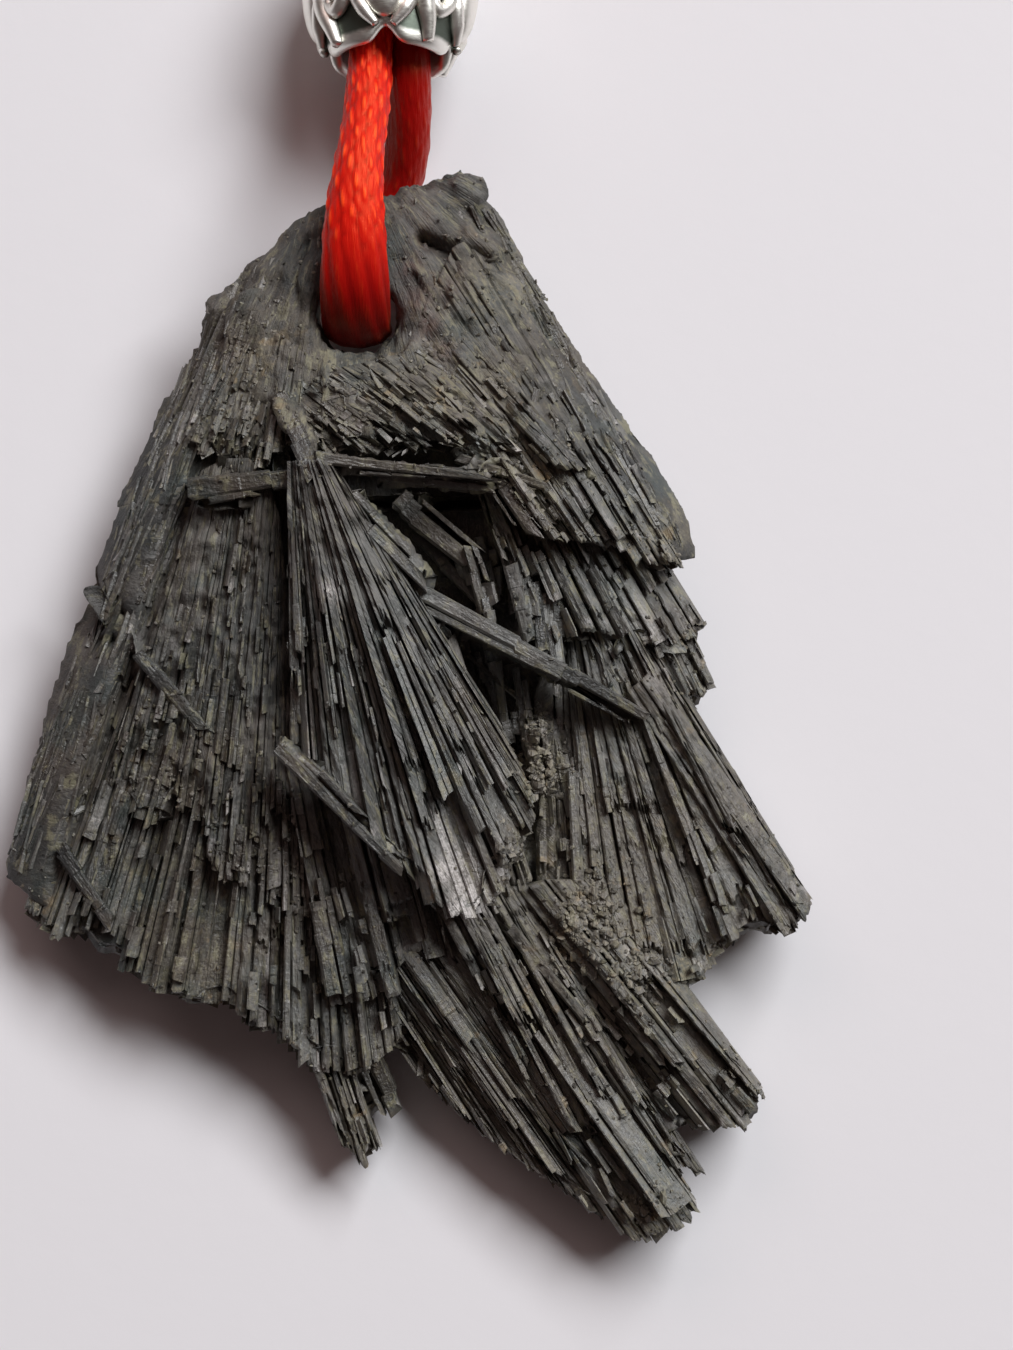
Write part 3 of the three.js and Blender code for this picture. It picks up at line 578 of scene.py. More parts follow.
def beadOrnament(plan, finish):
    # S-shaped scrolls between the petals, and leaf ribs that run from each petal down to the lips
    points, polygons, tarnish, count = [], [], [], 0
    step = 2 * math.pi / plan["repeats"]
    for i in range(plan["repeats"]):
        petal = plan["petalTurn"] + step * i
        wires = []
        for hand in (1, -1):
            path = [(hand * a, hand * b) for a, b in plan["scroll"]]
            wires.append((petal + step / 2, path, plan["scrollHalf"]))
        for hand, end in ((1, 1), (1, -1), (-1, 1), (-1, -1)):
            wires.append((petal, [(hand * a, end * b) for a, b in plan["leaf"]], plan["leafHalf"]))
        for wire in wires:
            made, faces, foot = wireOnBead(plan, *wire)
            points.append(made)
            polygons += [face + count for face in faces]
            tarnish.append(foot)
            count += len(made)
    points = np.vstack(points)
    points[:, 2] = np.maximum(points[:, 2], plan["lowest"])
    return meshFrom("bead_scrolls", points * mm, polygons, finish, True, {"tarnish": np.concatenate(tarnish)})


def beadDomes(plan, finish):
    # smooth petals, and a ball in the eye of each scroll
    made = bmesh.new()
    step = 2 * math.pi / plan["repeats"]
    domes = []
    for i in range(plan["repeats"]):
        petal = plan["petalTurn"] + step * i
        domes.append((petal, 0.0, plan["petal"], -0.3, 4))
        for end in (1, -1):
            domes.append((petal + step / 2, end * plan["scroll"][-1][1], (plan["ball"],) * 3, 0.05, 3))
    for turn, along, size, lift, fineness in domes:
        centre = onBead(plan, turn, along, barrel(plan, along) + lift)
        out = (onBead(plan, turn, along, 9) - onBead(plan, turn, along, 8)).normalized()
        axis = (onBead(plan, turn, along + 1, 8) - onBead(plan, turn, along, 8)).normalized()
        basis = Matrix((axis.cross(out), axis, out)).transposed().to_4x4()
        spot = Matrix.Translation(centre) @ basis @ Matrix.Diagonal((*size, 1))
        bmesh.ops.create_icosphere(made, subdivisions=fineness, radius=1.0, matrix=Matrix.Scale(mm, 4) @ spot)
    for vertex in made.verts:
        vertex.co.z = max(vertex.co.z, plan["lowest"] * mm)
    mesh = bpy.data.meshes.new("bead_petals")
    made.to_mesh(mesh)
    made.free()
    mesh.shade_smooth()
    mesh.materials.append(finish)
    piece = bpy.data.objects.new("bead_petals", mesh)
    scene.collection.objects.link(piece)
    return piece


silver = silverMaterial()
sleeve = beadSleeve(beadPlan, silver)
outwards(sleeve)
scrollwork = beadOrnament(beadPlan, silver)
outwards(scrollwork)
petals = beadDomes(beadPlan, silver)
print("bead ready")

# the stone: a rough core under fans of thin blades


def kyaniteMaterial():
    look = {
        "dark": (0.010, 0.011, 0.011),
        "grey": (0.143, 0.143, 0.136),
        "green": (0.036, 0.052, 0.050),
        "warm": (0.082, 0.064, 0.050),
        "olive": (0.215, 0.200, 0.125),
        "dust": (0.235, 0.205, 0.135),
        "frost": (0.60, 0.56, 0.54),
        "ochre": (0.30, 0.21, 0.10),
        "rust": (0.105, 0.046, 0.040),
        "gloss": (0.36, 0.74),  # roughness of the cleanest and the dullest blades
    }
    made, tree, shader = material("kyanite")
    place = nodeIn(tree, "ShaderNodeTexCoord").outputs["Object"]
    grain = painted(tree, "grain", "Vector")
    carried = ("dust", "frost", "tone", "rust", "rub")
    dustHere, frostHere, tone, rust, rub = (painted(tree, key) for key in carried)

    def alongGrain(scale, detail, roughness=0.55):
        return noiseNode(tree, stretched(tree, grain, scale), 1.0, detail, roughness)

    lines = alongGrain((5.5, 0.35, 1.0), 4.0)
    fineLines = alongGrain((17.0, 1.1, 1.0), 3.0)
    steps = alongGrain((2.6, 1.6, 1.0), 4.0, 0.7)
    mottled = alongGrain((1.7, 0.6, 1.0), 4.0, 0.72)
    pits = noiseNode(tree, place, 0.00022, 4.0, 0.65)
    patches = noiseNode(tree, place, 0.0032, 3.0)
    tint = noiseNode(tree, place, 0.0075, 2.0)
    dusty = scaled(tree, dustHere, between(tree, steps, 0.34, 0.66))
    dusty = added(tree, dusty, scaled(tree, between(tree, pits, 0.50, 0.66), dustHere))
    dusty = scaled(tree, dusty, 0.62, True)
    ochre = scaled(tree, between(tree, noiseNode(tree, place, 0.0011, 3.0), 0.60, 0.70, 0.0, 0.75), dustHere)
    frosted = scaled(tree, frostHere, between(tree, fineLines, 0.25, 0.6), True)
    frosted = scaled(tree, frosted, between(tree, pits, 0.34, 0.52, 0.15, 1.0), True)
    value = added(tree, scaled(tree, lines, 0.45), scaled(tree, tone, 0.75))
    colour = colourMix(tree, between(tree, value, 0.34, 0.82), look["dark"], look["grey"])
    # each colour is laid over those before it
    for name, share in (
        ("warm", between(tree, tint, 0.40, 0.60, 0.0, 0.6)),
        ("green", between(tree, patches, 0.50, 0.68, 0.0, 0.55)),
        ("dark", between(tree, mottled, 0.46, 0.36, 0.0, 0.55)),
        ("olive", between(tree, mottled, 0.52, 0.64, 0.0, 0.66)),
        ("rust", scaled(tree, rust, between(tree, steps, 0.3, 0.6, 0.2, 0.8))),
        ("dust", dusty),
        ("ochre", ochre),
        ("frost", frosted),
    ):
        colour = colourMix(tree, share, colour, look[name])
    dull = added(tree, scaled(tree, steps, 0.55), scaled(tree, dusty, 0.6))
    dull = added(tree, dull, scaled(tree, rub, 0.4))
    coarse = bumpNode(tree, added(tree, lines, scaled(tree, steps, 0.9)), 0.00014, 0.8)
    setFinish(tree, shader, {
        "Base Color": colour,
        "Roughness": between(tree, dull, 0.15, 0.75, *look["gloss"]),
        "IOR": 1.72,
        "Normal": bumpNode(tree, added(tree, fineLines, scaled(tree, pits, 1.4)), 0.00006, 0.8, coarse),
    })
    return made


# spots where pale mica, lichen-yellow dust or rust shows: x, y, reach in mm, strength
paleSpots = [(1.9, -8.5, 0.6, 1.2), (3.2, -10.2, 0.8, 1.8), (-3.9, 6.0, 0.4, 1.1), (8.4, -14.4, 0.5, 0.5),
             (13.6, 1.8, 1.0, 0.35), (-0.6, 3.0, 0.7, 0.3), (4.6, -8.9, 0.7, 0.3), (8.0, -0.9, 0.3, 0.7)]
dustSpots = [(2.9, 16.6, 1.6, 0.9), (5.3, 21.8, 1.6, 0.8), (-1.5, 16.8, 2.4, 0.4), (13.2, 9.2, 1.6, 0.6),
             (9.8, -12.0, 2.2, 1.0), (7.2, -3.6, 1.2, 0.9), (-8.2, 18.2, 1.2, 0.7), (-9.2, 14.4, 1.6, 0.6),
             (7.0, 11.6, 1.4, 0.8), (12.4, -26.6, 1.4, 0.8), (-1.8, -22.6, 1.4, 0.5),
             (-10.4, -14.6, 2.4, 0.5), (0.4, 17.2, 1.6, 0.5), (15.2, -14.2, 1.6, 0.5),
             (-19.0, -10.6, 1.4, 0.4)]
rustSpots = [(0.1, 23.0, 0.5, 0.9), (0.5, 21.4, 0.6, 1.0), (1.1, 19.8, 0.55, 1.0), (1.9, 18.6, 0.5, 0.8),
             (0.9, 24.6, 0.7, 0.5), (-9.2, 18.6, 0.7, 0.35), (2.4, 22.0, 0.6, 0.35)]


def spotsAt(x, y, spots):
    total = np.zeros_like(x)
    for spotX, spotY, reach, strength in spots:
        total = np.maximum(total, strength * np.exp(-((x - spotX) ** 2 + (y - spotY) ** 2) / (2 * reach**2)))
    return total


# deep cracks and pits, each a line in mm with its half width and depth
cracks = [
    {"line": [(0.9, 24.5), (2.0, 24.0), (3.0, 23.9), (4.9, 23.2)], "half": 0.34, "depth": 1.3},
    {"line": [(3.4, 23.4), (4.2, 22.4), (4.6, 21.2)], "half": 0.28, "depth": 1.1},
    {"line": [(-5.4, 24.6), (-5.9, 22.4), (-5.6, 20.6)], "half": 0.16, "depth": 0.4},
    {"line": [(0.4, 22.6), (1.5, 21.0), (2.2, 19.6)], "half": 0.16, "depth": 0.5},
    {"line": [(-7.6, 15.6), (-8.6, 14.4), (-9.0, 13.4)], "half": 0.22, "depth": 0.7},
    {"line": [(-1.8, 17.2), (-0.4, 16.4), (0.8, 16.2)], "half": 0.15, "depth": 0.5},
]


def crackAt(x, y, line):
    nearest = np.full(np.shape(x), 1e9)
    for (ax, ay), (bx, by) in zip(line[:-1], line[1:]):
        t = np.clip(((x - ax) * (bx - ax) + (y - ay) * (by - ay)) / ((bx - ax) ** 2 + (by - ay) ** 2), 0, 1)
        nearest = np.minimum(nearest, np.hypot(x - ax - t * (bx - ax), y - ay - t * (by - ay)))
    return nearest


def nearCrack(x, y, reach):
    return np.min([crackAt(x, y, crack["line"]) for crack in cracks], axis=0) < reach


def alongCrack(x, y, crack, widened=1.0):
    # 1 in the middle of a crack, less beside it
    return np.exp(-(crackAt(x, y, crack["line"]) / (widened * crack["half"])) ** 2)


def cloud(points, size, seed):
    # a smooth random field from -1 to 1; size is one length, or one for each axis
    place = np.asarray(points, dtype=float) / size + seed * 17.31
    cell = np.floor(place)
    inside = place - cell
    inside = inside * inside * (3 - 2 * inside)
    total = 0.0
    for corner in itertools.product((0, 1), repeat=3):
        x, y, z = (cell + corner).T
        value = np.sin(x * 127.1 + y * 311.7 + z * 74.7) * 43758.5453
        value -= np.floor(value)
        shareX, shareY, shareZ = np.where(corner, inside, 1 - inside).T
        total = total + value * (shareX * shareY * shareZ)
    return 2 * total - 1


corePlan = {
    "from": -30.0,  # mm, the core's reach in y
    "to": 30.0,
    "headFrom": 10.5,  # above this line the core is made more finely
    "overlap": 0.6,
    "headVoxel": 0.2,
    "bodyVoxel": 0.34,
    "sink": 1.0,  # how far it lies under the fans
    "hole": (-2.65, 20.65),
    "grainFrom": (-3.5, 31.0),  # where the grain spreads from
    "leftCrest": ((-7.9, 20.6), (-19.6, -10.4)),
    "rightCrest": ((14.2, 7.4), (3.9, 25.5)),
    # how far the left flank bulges beyond the crest, at each y
    "bulge": [(-10.4, 0), (-8.4, 0.8), (-6.5, 0.9), (-2.3, 0.7), (0, 0.95), (5.3, 0.95), (7.5, 0.9),
              (11, 0.8), (13, 0.65), (15, 0.4), (17.5, 0)],
    "ledge": {"line": [(-17.6, 7.4), (-13.8, 2.4)], "half": 0.95, "depth": 1.2},  # low step in that flank
}


def fromHole(x, y):
    holeX, holeY = corePlan["hole"]
    return np.hypot(x - holeX, y - holeY)


def besideLine(x, y, ends):
    # distance to the left of a line seen along it
    (ax, ay), (bx, by) = ends
    long = math.hypot(bx - ax, by - ay)
    return ((bx - ax) * (y - ay) - (by - ay) * (x - ax)) / long


def coreHalf(name, source, low, high, voxel):
    # the stone between two heights of y, made again from even small faces
    part = bmesh.new()
    part.from_mesh(source.data)
    bmesh.ops.remove_doubles(part, verts=part.verts, dist=0.000001)
    for place, normal in ((low, (0, -1, 0)), (high, (0, 1, 0))):
        whole = part.verts[:] + part.edges[:] + part.faces[:]
        bmesh.ops.bisect_plane(part, geom=whole, plane_co=(0, place, 0), plane_no=normal, clear_outer=True)
        rim = [edge for edge in part.edges if edge.is_boundary]
        if rim:
            bmesh.ops.triangle_fill(part, edges=rim, use_beauty=True, normal=normal)
    bmesh.ops.recalc_face_normals(part, faces=part.faces)
    cutMesh = bpy.data.meshes.new(name + "Copy")
    part.to_mesh(cutMesh)
    part.free()
    copy = bpy.data.objects.new(name + "Copy", cutMesh)
    scene.collection.objects.link(copy)
    remesh = copy.modifiers.new("remesh", "REMESH")
    remesh.mode = "VOXEL"
    remesh.voxel_size = voxel
    smooth = copy.modifiers.new("smooth", "SMOOTH")
    smooth.factor = 0.5
    smooth.iterations = 4
    made = bpy.data.meshes.new_from_object(copy.evaluated_get(bpy.context.evaluated_depsgraph_get()))
    bpy.data.objects.remove(copy)
    bpy.data.meshes.remove(cutMesh)
    dropIslands(made)
    return made


def dropIslands(mesh):
    # keeps only the largest connected part
    work = bmesh.new()
    work.from_mesh(mesh)
    unseen = set(work.verts)
    groups = []
    while unseen:
        stack = [unseen.pop()]
        group = []
        while stack:
            vert = stack.pop()
            group.append(vert)
            for edge in vert.link_edges:
                other = edge.other_vert(vert)
                if other in unseen:
                    unseen.discard(other)
                    stack.append(other)
        groups.append(group)
    groups.sort(key=len)
    bmesh.ops.delete(work, geom=[vert for group in groups[:-1] for vert in group], context="VERTS")
    work.to_mesh(mesh)
    work.free()


def vectorsOf(mesh, key):
    values = np.empty(len(mesh.vertices) * 3, dtype=np.float32)
    mesh.vertices.foreach_get(key, values)
    return values.reshape(-1, 3).astype(float)


def grainOf(plan, x, y, z):
    # across and along the grain, and the height
    dx, dy = x - plan["grainFrom"][0], y - plan["grainFrom"][1]
    return np.stack([np.arctan2(dx, -dy) * 16.0, np.hypot(dx, dy), z], axis=1)


def stoneCore(plan, name, low, high, voxel, finish):
    mesh = coreHalf(name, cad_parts["kyanite_fan"], low * mm, high * mm, voxel * mm)
    places, normal = vectorsOf(mesh, "co") / mm, vectorsOf(mesh, "normal")
    x, y, z = places.T
    leftOf, rightOf = besideLine(x, y, plan["leftCrest"]), besideLine(x, y, plan["rightCrest"])
    head = smoothStep(12.4, 14.6, y)
    rightFlank = smoothStep(-0.9, 0.3, -rightOf) * smoothStep(5.5, 8.0, y)
    flank = np.maximum(smoothStep(-0.8, 0.4, -leftOf), rightFlank)
    below = smoothStep(0.1, -0.5, normal[:, 2])
    bare = np.maximum(np.maximum(head, flank), below)
    grain = grainOf(plan, x, y, z)
    lines = cloud(grain, (0.34, 3.4, 0.8), 1.0)
    coarse = cloud(grain, (0.9, 5.0, 1.4), 2.0)
    lumps = cloud(places, 1.1, 3.0)
    bits = cloud(places, 0.42, 4.0)
    rough = 0.15 * lines + 0.17 * coarse + 0.16 * lumps + 0.10 * bits
    for crack in cracks:
        rough -= crack["depth"] * alongCrack(x, y, crack) * (normal[:, 2] > 0.2)
    smoothFlank = flank * (1 - head * 0.6)
    shift = rough * (1 - 0.78 * smoothFlank) * (0.5 + 0.5 * bare) - 0.05
    sunk = plan["sink"] * (1 - bare)[:, None] * normal * np.array([0.7, 0.7, 1.0])
    made = places + normal * shift[:, None] - sunk
    ledge = alongCrack(x, y, plan["ledge"])
    bulge = np.interp(y, *zip(*plan["bulge"])) * (1 - 0.5 * ledge)
    upper = smoothStep(-0.3, 0.3, normal[:, 2])
    made[:, 2] -= plan["ledge"]["depth"] * ledge * upper * smoothStep(-13.8, -14.6, x)
    made[:, 0] -= bulge * smoothStep(-0.1, 0.7, -normal[:, 0]) * smoothStep(0.8, -1.5, leftOf)
    made[:, 2] = np.maximum(made[:, 2], 0.0)
    mesh.vertices.foreach_set("co", (made * mm).astype(np.float32).ravel())
    mesh.shade_smooth()
    mesh.materials.clear()
    mesh.materials.append(finish)
    # painted shade: the tone is darker along the cracks and just beside them
    crackShade = np.max([alongCrack(x, y, crack, 1.5) for crack in cracks], axis=0)
    tone = 0.38 + 0.34 * cloud(grain, (0.8, 5.0, 1.5), 5.0) + 0.2 * lumps - 0.24 * smoothFlank - 0.6 * crackShade
    tone -= 0.42 * smoothStep(-2.0, -6.0, x) * head
    dust = 0.10 + 0.12 * head + spotsAt(x, y, dustSpots) - 0.08 * smoothFlank
    for key, values in {
        "grain": grain,
        "tone": np.clip(tone, 0, 1),
        "rub": 0.7 * bare,
        "rust": np.clip(spotsAt(x, y, rustSpots) * (0.8 + 0.5 * lumps), 0, 1),
        "dust": np.clip(dust * (0.75 + 0.5 * lumps), 0, 1) * np.where(z < 3, 0.6, 1.0),
        "frost": spotsAt(x, y, paleSpots) * 0.3,
    }.items():
        addAttribute(mesh, key, values)
    piece = bpy.data.objects.new(name, mesh)
    scene.collection.objects.link(piece)
    return piece


def treeOf(pieces):
    points, polygons = [], []
    for piece in pieces:
        first = len(points)
        points.extend(v.co / mm for v in piece.data.vertices)
        polygons.extend([i + first for i in p.vertices] for p in piece.data.polygons)
    return BVHTree.FromPolygons(points, polygons)


def topsAt(tree, places):
    heights = []
    for x, y in places:
        hit = tree.ray_cast(Vector((x, y, 30.0)), Vector((0, 0, -1)))[0]
        heights.append(hit.z if hit else np.nan)
    return np.array(heights)


bladeHabit = {
    "breakAt": (0.05, 0.93),  # shares of the length between which a blade may have broken
    "sharp": 0.008,  # how suddenly it steps at a break
    "pinch": (-0.16, 0.05),  # how much narrower or wider each part is
    "bevel": 0.13,  # mm down each upper edge, and the most of the width that it takes
    "bevelMost": 0.24,
    "inset": 0.17,
    "rough": 0.014,  # mm by which every corner is off
    "swayMost": 0.8,
}


def bladeSet(rng, left, right, start, end, lift, roll, depth, breaks=3, bend=0.03, ragged=0.07, drop=0.06):
    # closed six-sided blades between two side lines, each (count, root and tip, xyz) in mm
    habit = bladeHabit
    count, sharp = len(start), habit["sharp"]
    cuts = np.sort(rng.uniform(*habit["breakAt"], (count, breaks)), axis=1)
    ends = np.concatenate([np.zeros((count, 1)), cuts - sharp, cuts + sharp, np.ones((count, 1))], axis=1)
    stations = np.sort(ends, axis=1)
    rings = stations.shape[1]
    part = np.repeat(np.arange(breaks + 1), 2)
    level = np.cumsum(rng.normal(0, drop, (count, breaks + 1)), axis=1)
    pinch = 1 + rng.uniform(*habit["pinch"], (count, breaks + 1))
    sway = np.cumsum(rng.normal(0, bend, (count, breaks + 1)), axis=1)
    t = start[:, None] + (end - start)[:, None] * stations
    edgeL = left[:, None, 0] + (left[:, None, 1] - left[:, None, 0]) * t[..., None]
    edgeR = right[:, None, 0] + (right[:, None, 1] - right[:, None, 0]) * t[..., None]
    middle = (edgeL + edgeR) / 2
    half = (edgeR - edgeL) / 2
    run = unit((middle[:, -1] - middle[:, 0]) * np.array([1.0, 1.0, 0.0]))
    half = half - run[:, None] * (half * run[:, None]).sum(-1)[..., None]
    width = 2 * np.linalg.norm(half[..., :2], axis=-1)
    middle = middle + unit(half) * (sway[:, part] * np.minimum(width, habit["swayMost"]))[..., None]
    half = half * pinch[:, part][..., None]
    edgeL, edgeR = middle - half, middle + half
    tilt = roll[:, None] * width
    edgeL[..., 2] += lift[:, None] + level[:, part] - tilt
    edgeR[..., 2] += lift[:, None] + level[:, part] + tilt
    # the section: foot, side and bevelled upper edge on the right, then the same on the left
    up = np.array([0.0, 0.0, 1.0])
    down = depth[:, None, None] * up
    facing = np.sign(depth)[:, None, None]
    bevel = np.minimum(habit["bevel"], habit["bevelMost"] * width)[..., None] * up * facing
    inset = (edgeR - edgeL) * habit["inset"]
    corners = [edgeL - down, edgeR - down, edgeR - bevel, edgeR - inset, edgeL + inset, edgeL - bevel]
    section = np.stack(corners, axis=2)
    section += rng.normal(0, habit["rough"], section.shape)
    axis = unit(middle[:, -1] - middle[:, 0])
    slant = rng.normal(0, ragged, (count, 1)) * np.array([-1, 1, 1, 0.6, -0.6, -1])[None]
    slant = slant + rng.normal(0, ragged * 0.6, (count, 6))
    section[:, -1] += axis[:, None] * slant[..., None]
    section[:, 0] += axis[:, None] * rng.normal(0, ragged * 0.4, (count, 6))[..., None]
    points = section.reshape(count, rings * 6, 3)
    quads = ringQuads(rings, 6)
    # the volume's sign tells which blades need their faces turned
    a, b, c, d = (points[:, quads[:, i]] - points[:, :1] for i in range(4))
    volume = (np.cross(a, b) * c).sum((1, 2)) + (np.cross(a, c) * d).sum((1, 2))
    sides = np.arange(6)
    order = np.where((volume < 0)[:, None], sides[::-1][None], sides[None])
    ringOrder = (np.arange(rings)[None, :, None] * 6 + order[:, None, :]).reshape(count, -1)
    points = np.take_along_axis(points, ringOrder[..., None], axis=1)
    offset = (np.arange(count) * rings * 6)[:, None, None]
    rootCap, tipCap = sides[::-1][None, None] + offset, (rings - 1) * 6 + sides[None, None] + offset
    shape = (count, rings, 6)
    long = np.linalg.norm(middle[:, -1] - middle[:, 0], axis=1)
    across = np.broadcast_to(np.array([0.0, 1, 1.4, 1.7, 2.7, 3.0])[None, None], shape)
    across = across * width[..., None] * 0.6 + rng.uniform(0, 900, (count, 1, 1))
    along = np.broadcast_to((stations * long[:, None])[..., None] + rng.uniform(0, 90, (count, 1, 1)), shape)
    tone = np.repeat(rng.normal(0.5, 0.2, count), rings * 6)
    return {
        "points": points.reshape(-1, 3),
        "faces": (quads[None] + offset).reshape(-1, 4),
        "caps": np.concatenate([rootCap, tipCap]).reshape(-1, 6),
        "grain": np.stack([across, along, np.zeros(shape)], axis=-1).reshape(-1, 3),
        "toTip": np.broadcast_to(((1 - stations) * long[:, None])[..., None], shape).reshape(-1),
        "tone": tone,
        "rub": np.zeros(len(tone)),
    }


def gather(sets):
    # several blade sets as one
    total = 0
    out = {key: [] for key in sets[0]}
    for one in sets:
        for key, value in one.items():
            out[key].append(value + total if key in ("faces", "caps") else value)
        total += len(one["points"])
    return {key: np.concatenate(values) for key, values in out.items()}


def stonePiece(name, layers, finish, dusty, tipDust, lighter):
    # one piece from sheets and loose blades, kept inside the solid's height
    lowest, highest = 0.01, 11.35
    parts = [sheet for layer in layers for sheet in layer.get("sheets", [])]
    parts += [layer["blades"] for layer in layers if "blades" in layer]
    polygons, smooth, total = [], [], 0
    for part in parts:
        others = [*part.get("walls", []), *([part["caps"]] if "caps" in part else [])]
        polygons += [p + total for p in [part["faces"], *others]]
        smooth.append(part.get("smooth", np.zeros(len(part["faces"]), dtype=bool)))
        smooth.append(np.zeros(sum(len(p) for p in others), dtype=bool))
        total += len(part["points"])
    points, grain, toTip, tone, rub = (np.concatenate([part[key] for part in parts])
                                       for key in ("points", "grain", "toTip", "tone", "rub"))
    x, y = points[:, :2].T
    patch = 0.7 + 0.5 * cloud(points, 1.7, 9.0)
    dust = dusty + tipDust * np.exp(-toTip / 0.45) + 0.8 * spotsAt(x, y, dustSpots)
    chips = smoothStep(0.42, 0.75, cloud(points, 0.55, 6.0)) * (0.14 + 0.5 * np.exp(-toTip / 0.9))
    frost = spotsAt(x, y, paleSpots) * (0.7 + 0.4 * cloud(points, 0.6, 5.0)) + chips
    points[:, 2] = np.clip(points[:, 2], lowest, highest)
    return meshFrom(name, points * mm, polygons, finish, np.concatenate(smooth), {
        "grain": grain,
        "tone": np.clip(tone + lighter, 0, 1),
        "dust": np.clip(dust * patch, 0, 1),
        "frost": np.clip(frost, 0, 1),
        "rust": np.clip(spotsAt(x, y, rustSpots), 0, 1),
        "rub": rub,
    })


# fans: ribs run clockwise from above, each from root to tip in mm, at the height of the blades' tops

fanHabit = {
    "slab": 1.9,  # mm across a slab at the tips; each slab is split into blades
    "blade": 0.75,
    "gap": (0.04, 0.34),  # mm left open between slabs
    "groove": (0.6, 1.9),  # how deep those gaps go
    "row": 0.22,  # mm between the sheet's rows
    "thick": 1.1,
    "lean": 0.16,  # how much single blades lean sideways
    "crown": (-0.02, 0.05),  # how far a blade is hollow or rounded across
    "edge": 0.13,  # how far its edges lie below its middle
    "brink": 0.07,  # mm in from the edge where it is rounded over
    "column": 0.2,  # mm between the sheet's columns
    "uneven": 0.24,  # how far slabs stand above or below each other
    "slope": 0.16,  # how much slabs lean sideways
    "worn": (0.25, 0.5),  # share of the length that is worn granular, and how much
    "terrace": 0.13,  # mm of each step where a blade has broken short
    "ragged": 1.2,  # mm broken off the tips
    "above": 2,  # layers of shorter slabs left on top
    "aboveStep": 0.22,
    "aboveShare": 0.26,
    "aboveFrom": (0.0, 0.55),
    "aboveLong": (0.18, 0.5),
    "flakes": 60,
    "flakesFrom": (0.02, 0.92),
    "crumbs": 70,
}

leftLower = {
    "ribs": [
        ((-5.1, 7.7, 5.4), (0.6, -17.2, 4.4)), ((-5.5, 10.9, 6.0), (-0.8, -19.0, 4.8)),
        ((-5.7, 13.0, 6.4), (-2.6, -20.6, 5.0)), ((-5.8, 14.1, 6.8), (-4.8, -20.4, 5.2)),
        ((-5.9, 15.1, 7.0), (-7.2, -18.6, 5.4)), ((-6.1, 16.2, 7.2), (-9.7, -16.5, 5.6)),
        ((-6.2, 16.9, 7.2), (-12.6, -16.0, 5.6)), ((-6.3, 18.3, 7.0), (-15.3, -15.0, 5.4)),
        ((-6.4, 19.8, 6.8), (-17.0, -13.0, 5.0)), ((-8.2, 18.6, 6.2), (-19.2, -12.7, 4.6)),
        ((-9.4, 18.0, 5.8), (-20.9, -11.4, 3.6)),
    ],
    "keel": (-6.5, 4.0, 2.2), "under": 2.7, "ragged": 1.6, "slab": 1.6, "blade": 0.7, "uneven": 0.38,
    "worn": (0.52, 1.0), "above": 3,
    "aboveFrom": (0.35, 0.8), "aboveLong": (0.08, 0.26), "flakes": 160, "flakesFrom": (0.3, 0.92),
    "crumbs": 160, "seed": 11,
}
leftUpper = {
    "ribs": [
        ((-6.2, 6.0, 6.8), (-5.6, -12.2, 6.4)), ((-6.6, 10.0, 7.6), (-7.6, -11.4, 6.9)),
        ((-7.2, 12.0, 7.8), (-9.6, -10.4, 7.0)), ((-8.2, 13.0, 7.7), (-11.0, -8.4, 7.0)),
        ((-9.4, 13.0, 7.2), (-13.4, -6.6, 6.8)), ((-10.8, 12.4, 6.4), (-16.4, -5.4, 6.0)),
    ],
    "keel": (-8.5, 4.0, 3.4), "under": 4.2, "ragged": 4.5, "slab": 1.3, "blade": 0.6,
    "gap": (0.03, 0.2), "uneven": 0.2,
    "slope": 0.14, "worn": (0.72, 1.0), "above": 2, "aboveStep": 0.12, "aboveFrom": (0.5, 0.8),
    "aboveLong": (0.05, 0.2),
    "flakes": 150, "flakesFrom": (0.0, 0.75), "crumbs": 260, "seed": 37,
}
centreFan = {
    "ribs": [
        ((-3.2, 11.9, 9.4), (4.9, -0.8, 8.2)), ((-3.5, 12.3, 9.9), (6.9, -4.9, 8.8)),
        ((-3.8, 12.5, 10.2), (6.7, -6.9, 9.2)), ((-4.2, 12.7, 10.3), (5.9, -8.9, 9.6)),
        ((-4.5, 12.7, 10.4), (4.6, -11.1, 10.0)), ((-4.8, 12.7, 10.4), (2.2, -11.6, 10.2)),
        ((-5.1, 12.7, 10.4), (-0.5, -8.4, 10.2)), ((-5.4, 12.7, 10.2), (-2.7, -6.4, 10.0)),
        ((-5.7, 12.7, 10.0), (-4.5, -3.6, 9.6)), ((-6.1, 12.7, 9.6), (-6.1, -1.8, 9.0)),
    ],
    "keel": (-1.0, 3.0, 3.4), "under": 6.6, "ragged": 1.2, "slab": 1.9, "blade": 0.85,
    "gap": (0.06, 0.46), "groove": (0.8, 2.0), "uneven": 0.3, "worn": (0.32, 0.8),
    "slope": 0.26, "above": 3, "aboveStep": 0.2, "aboveFrom": (0.1, 0.6), "aboveLong": (0.14, 0.45),
    "terrace": 0.16,
    "flakes": 120, "flakesFrom": (0.05, 0.7), "crumbs": 60, "seed": 71,
}
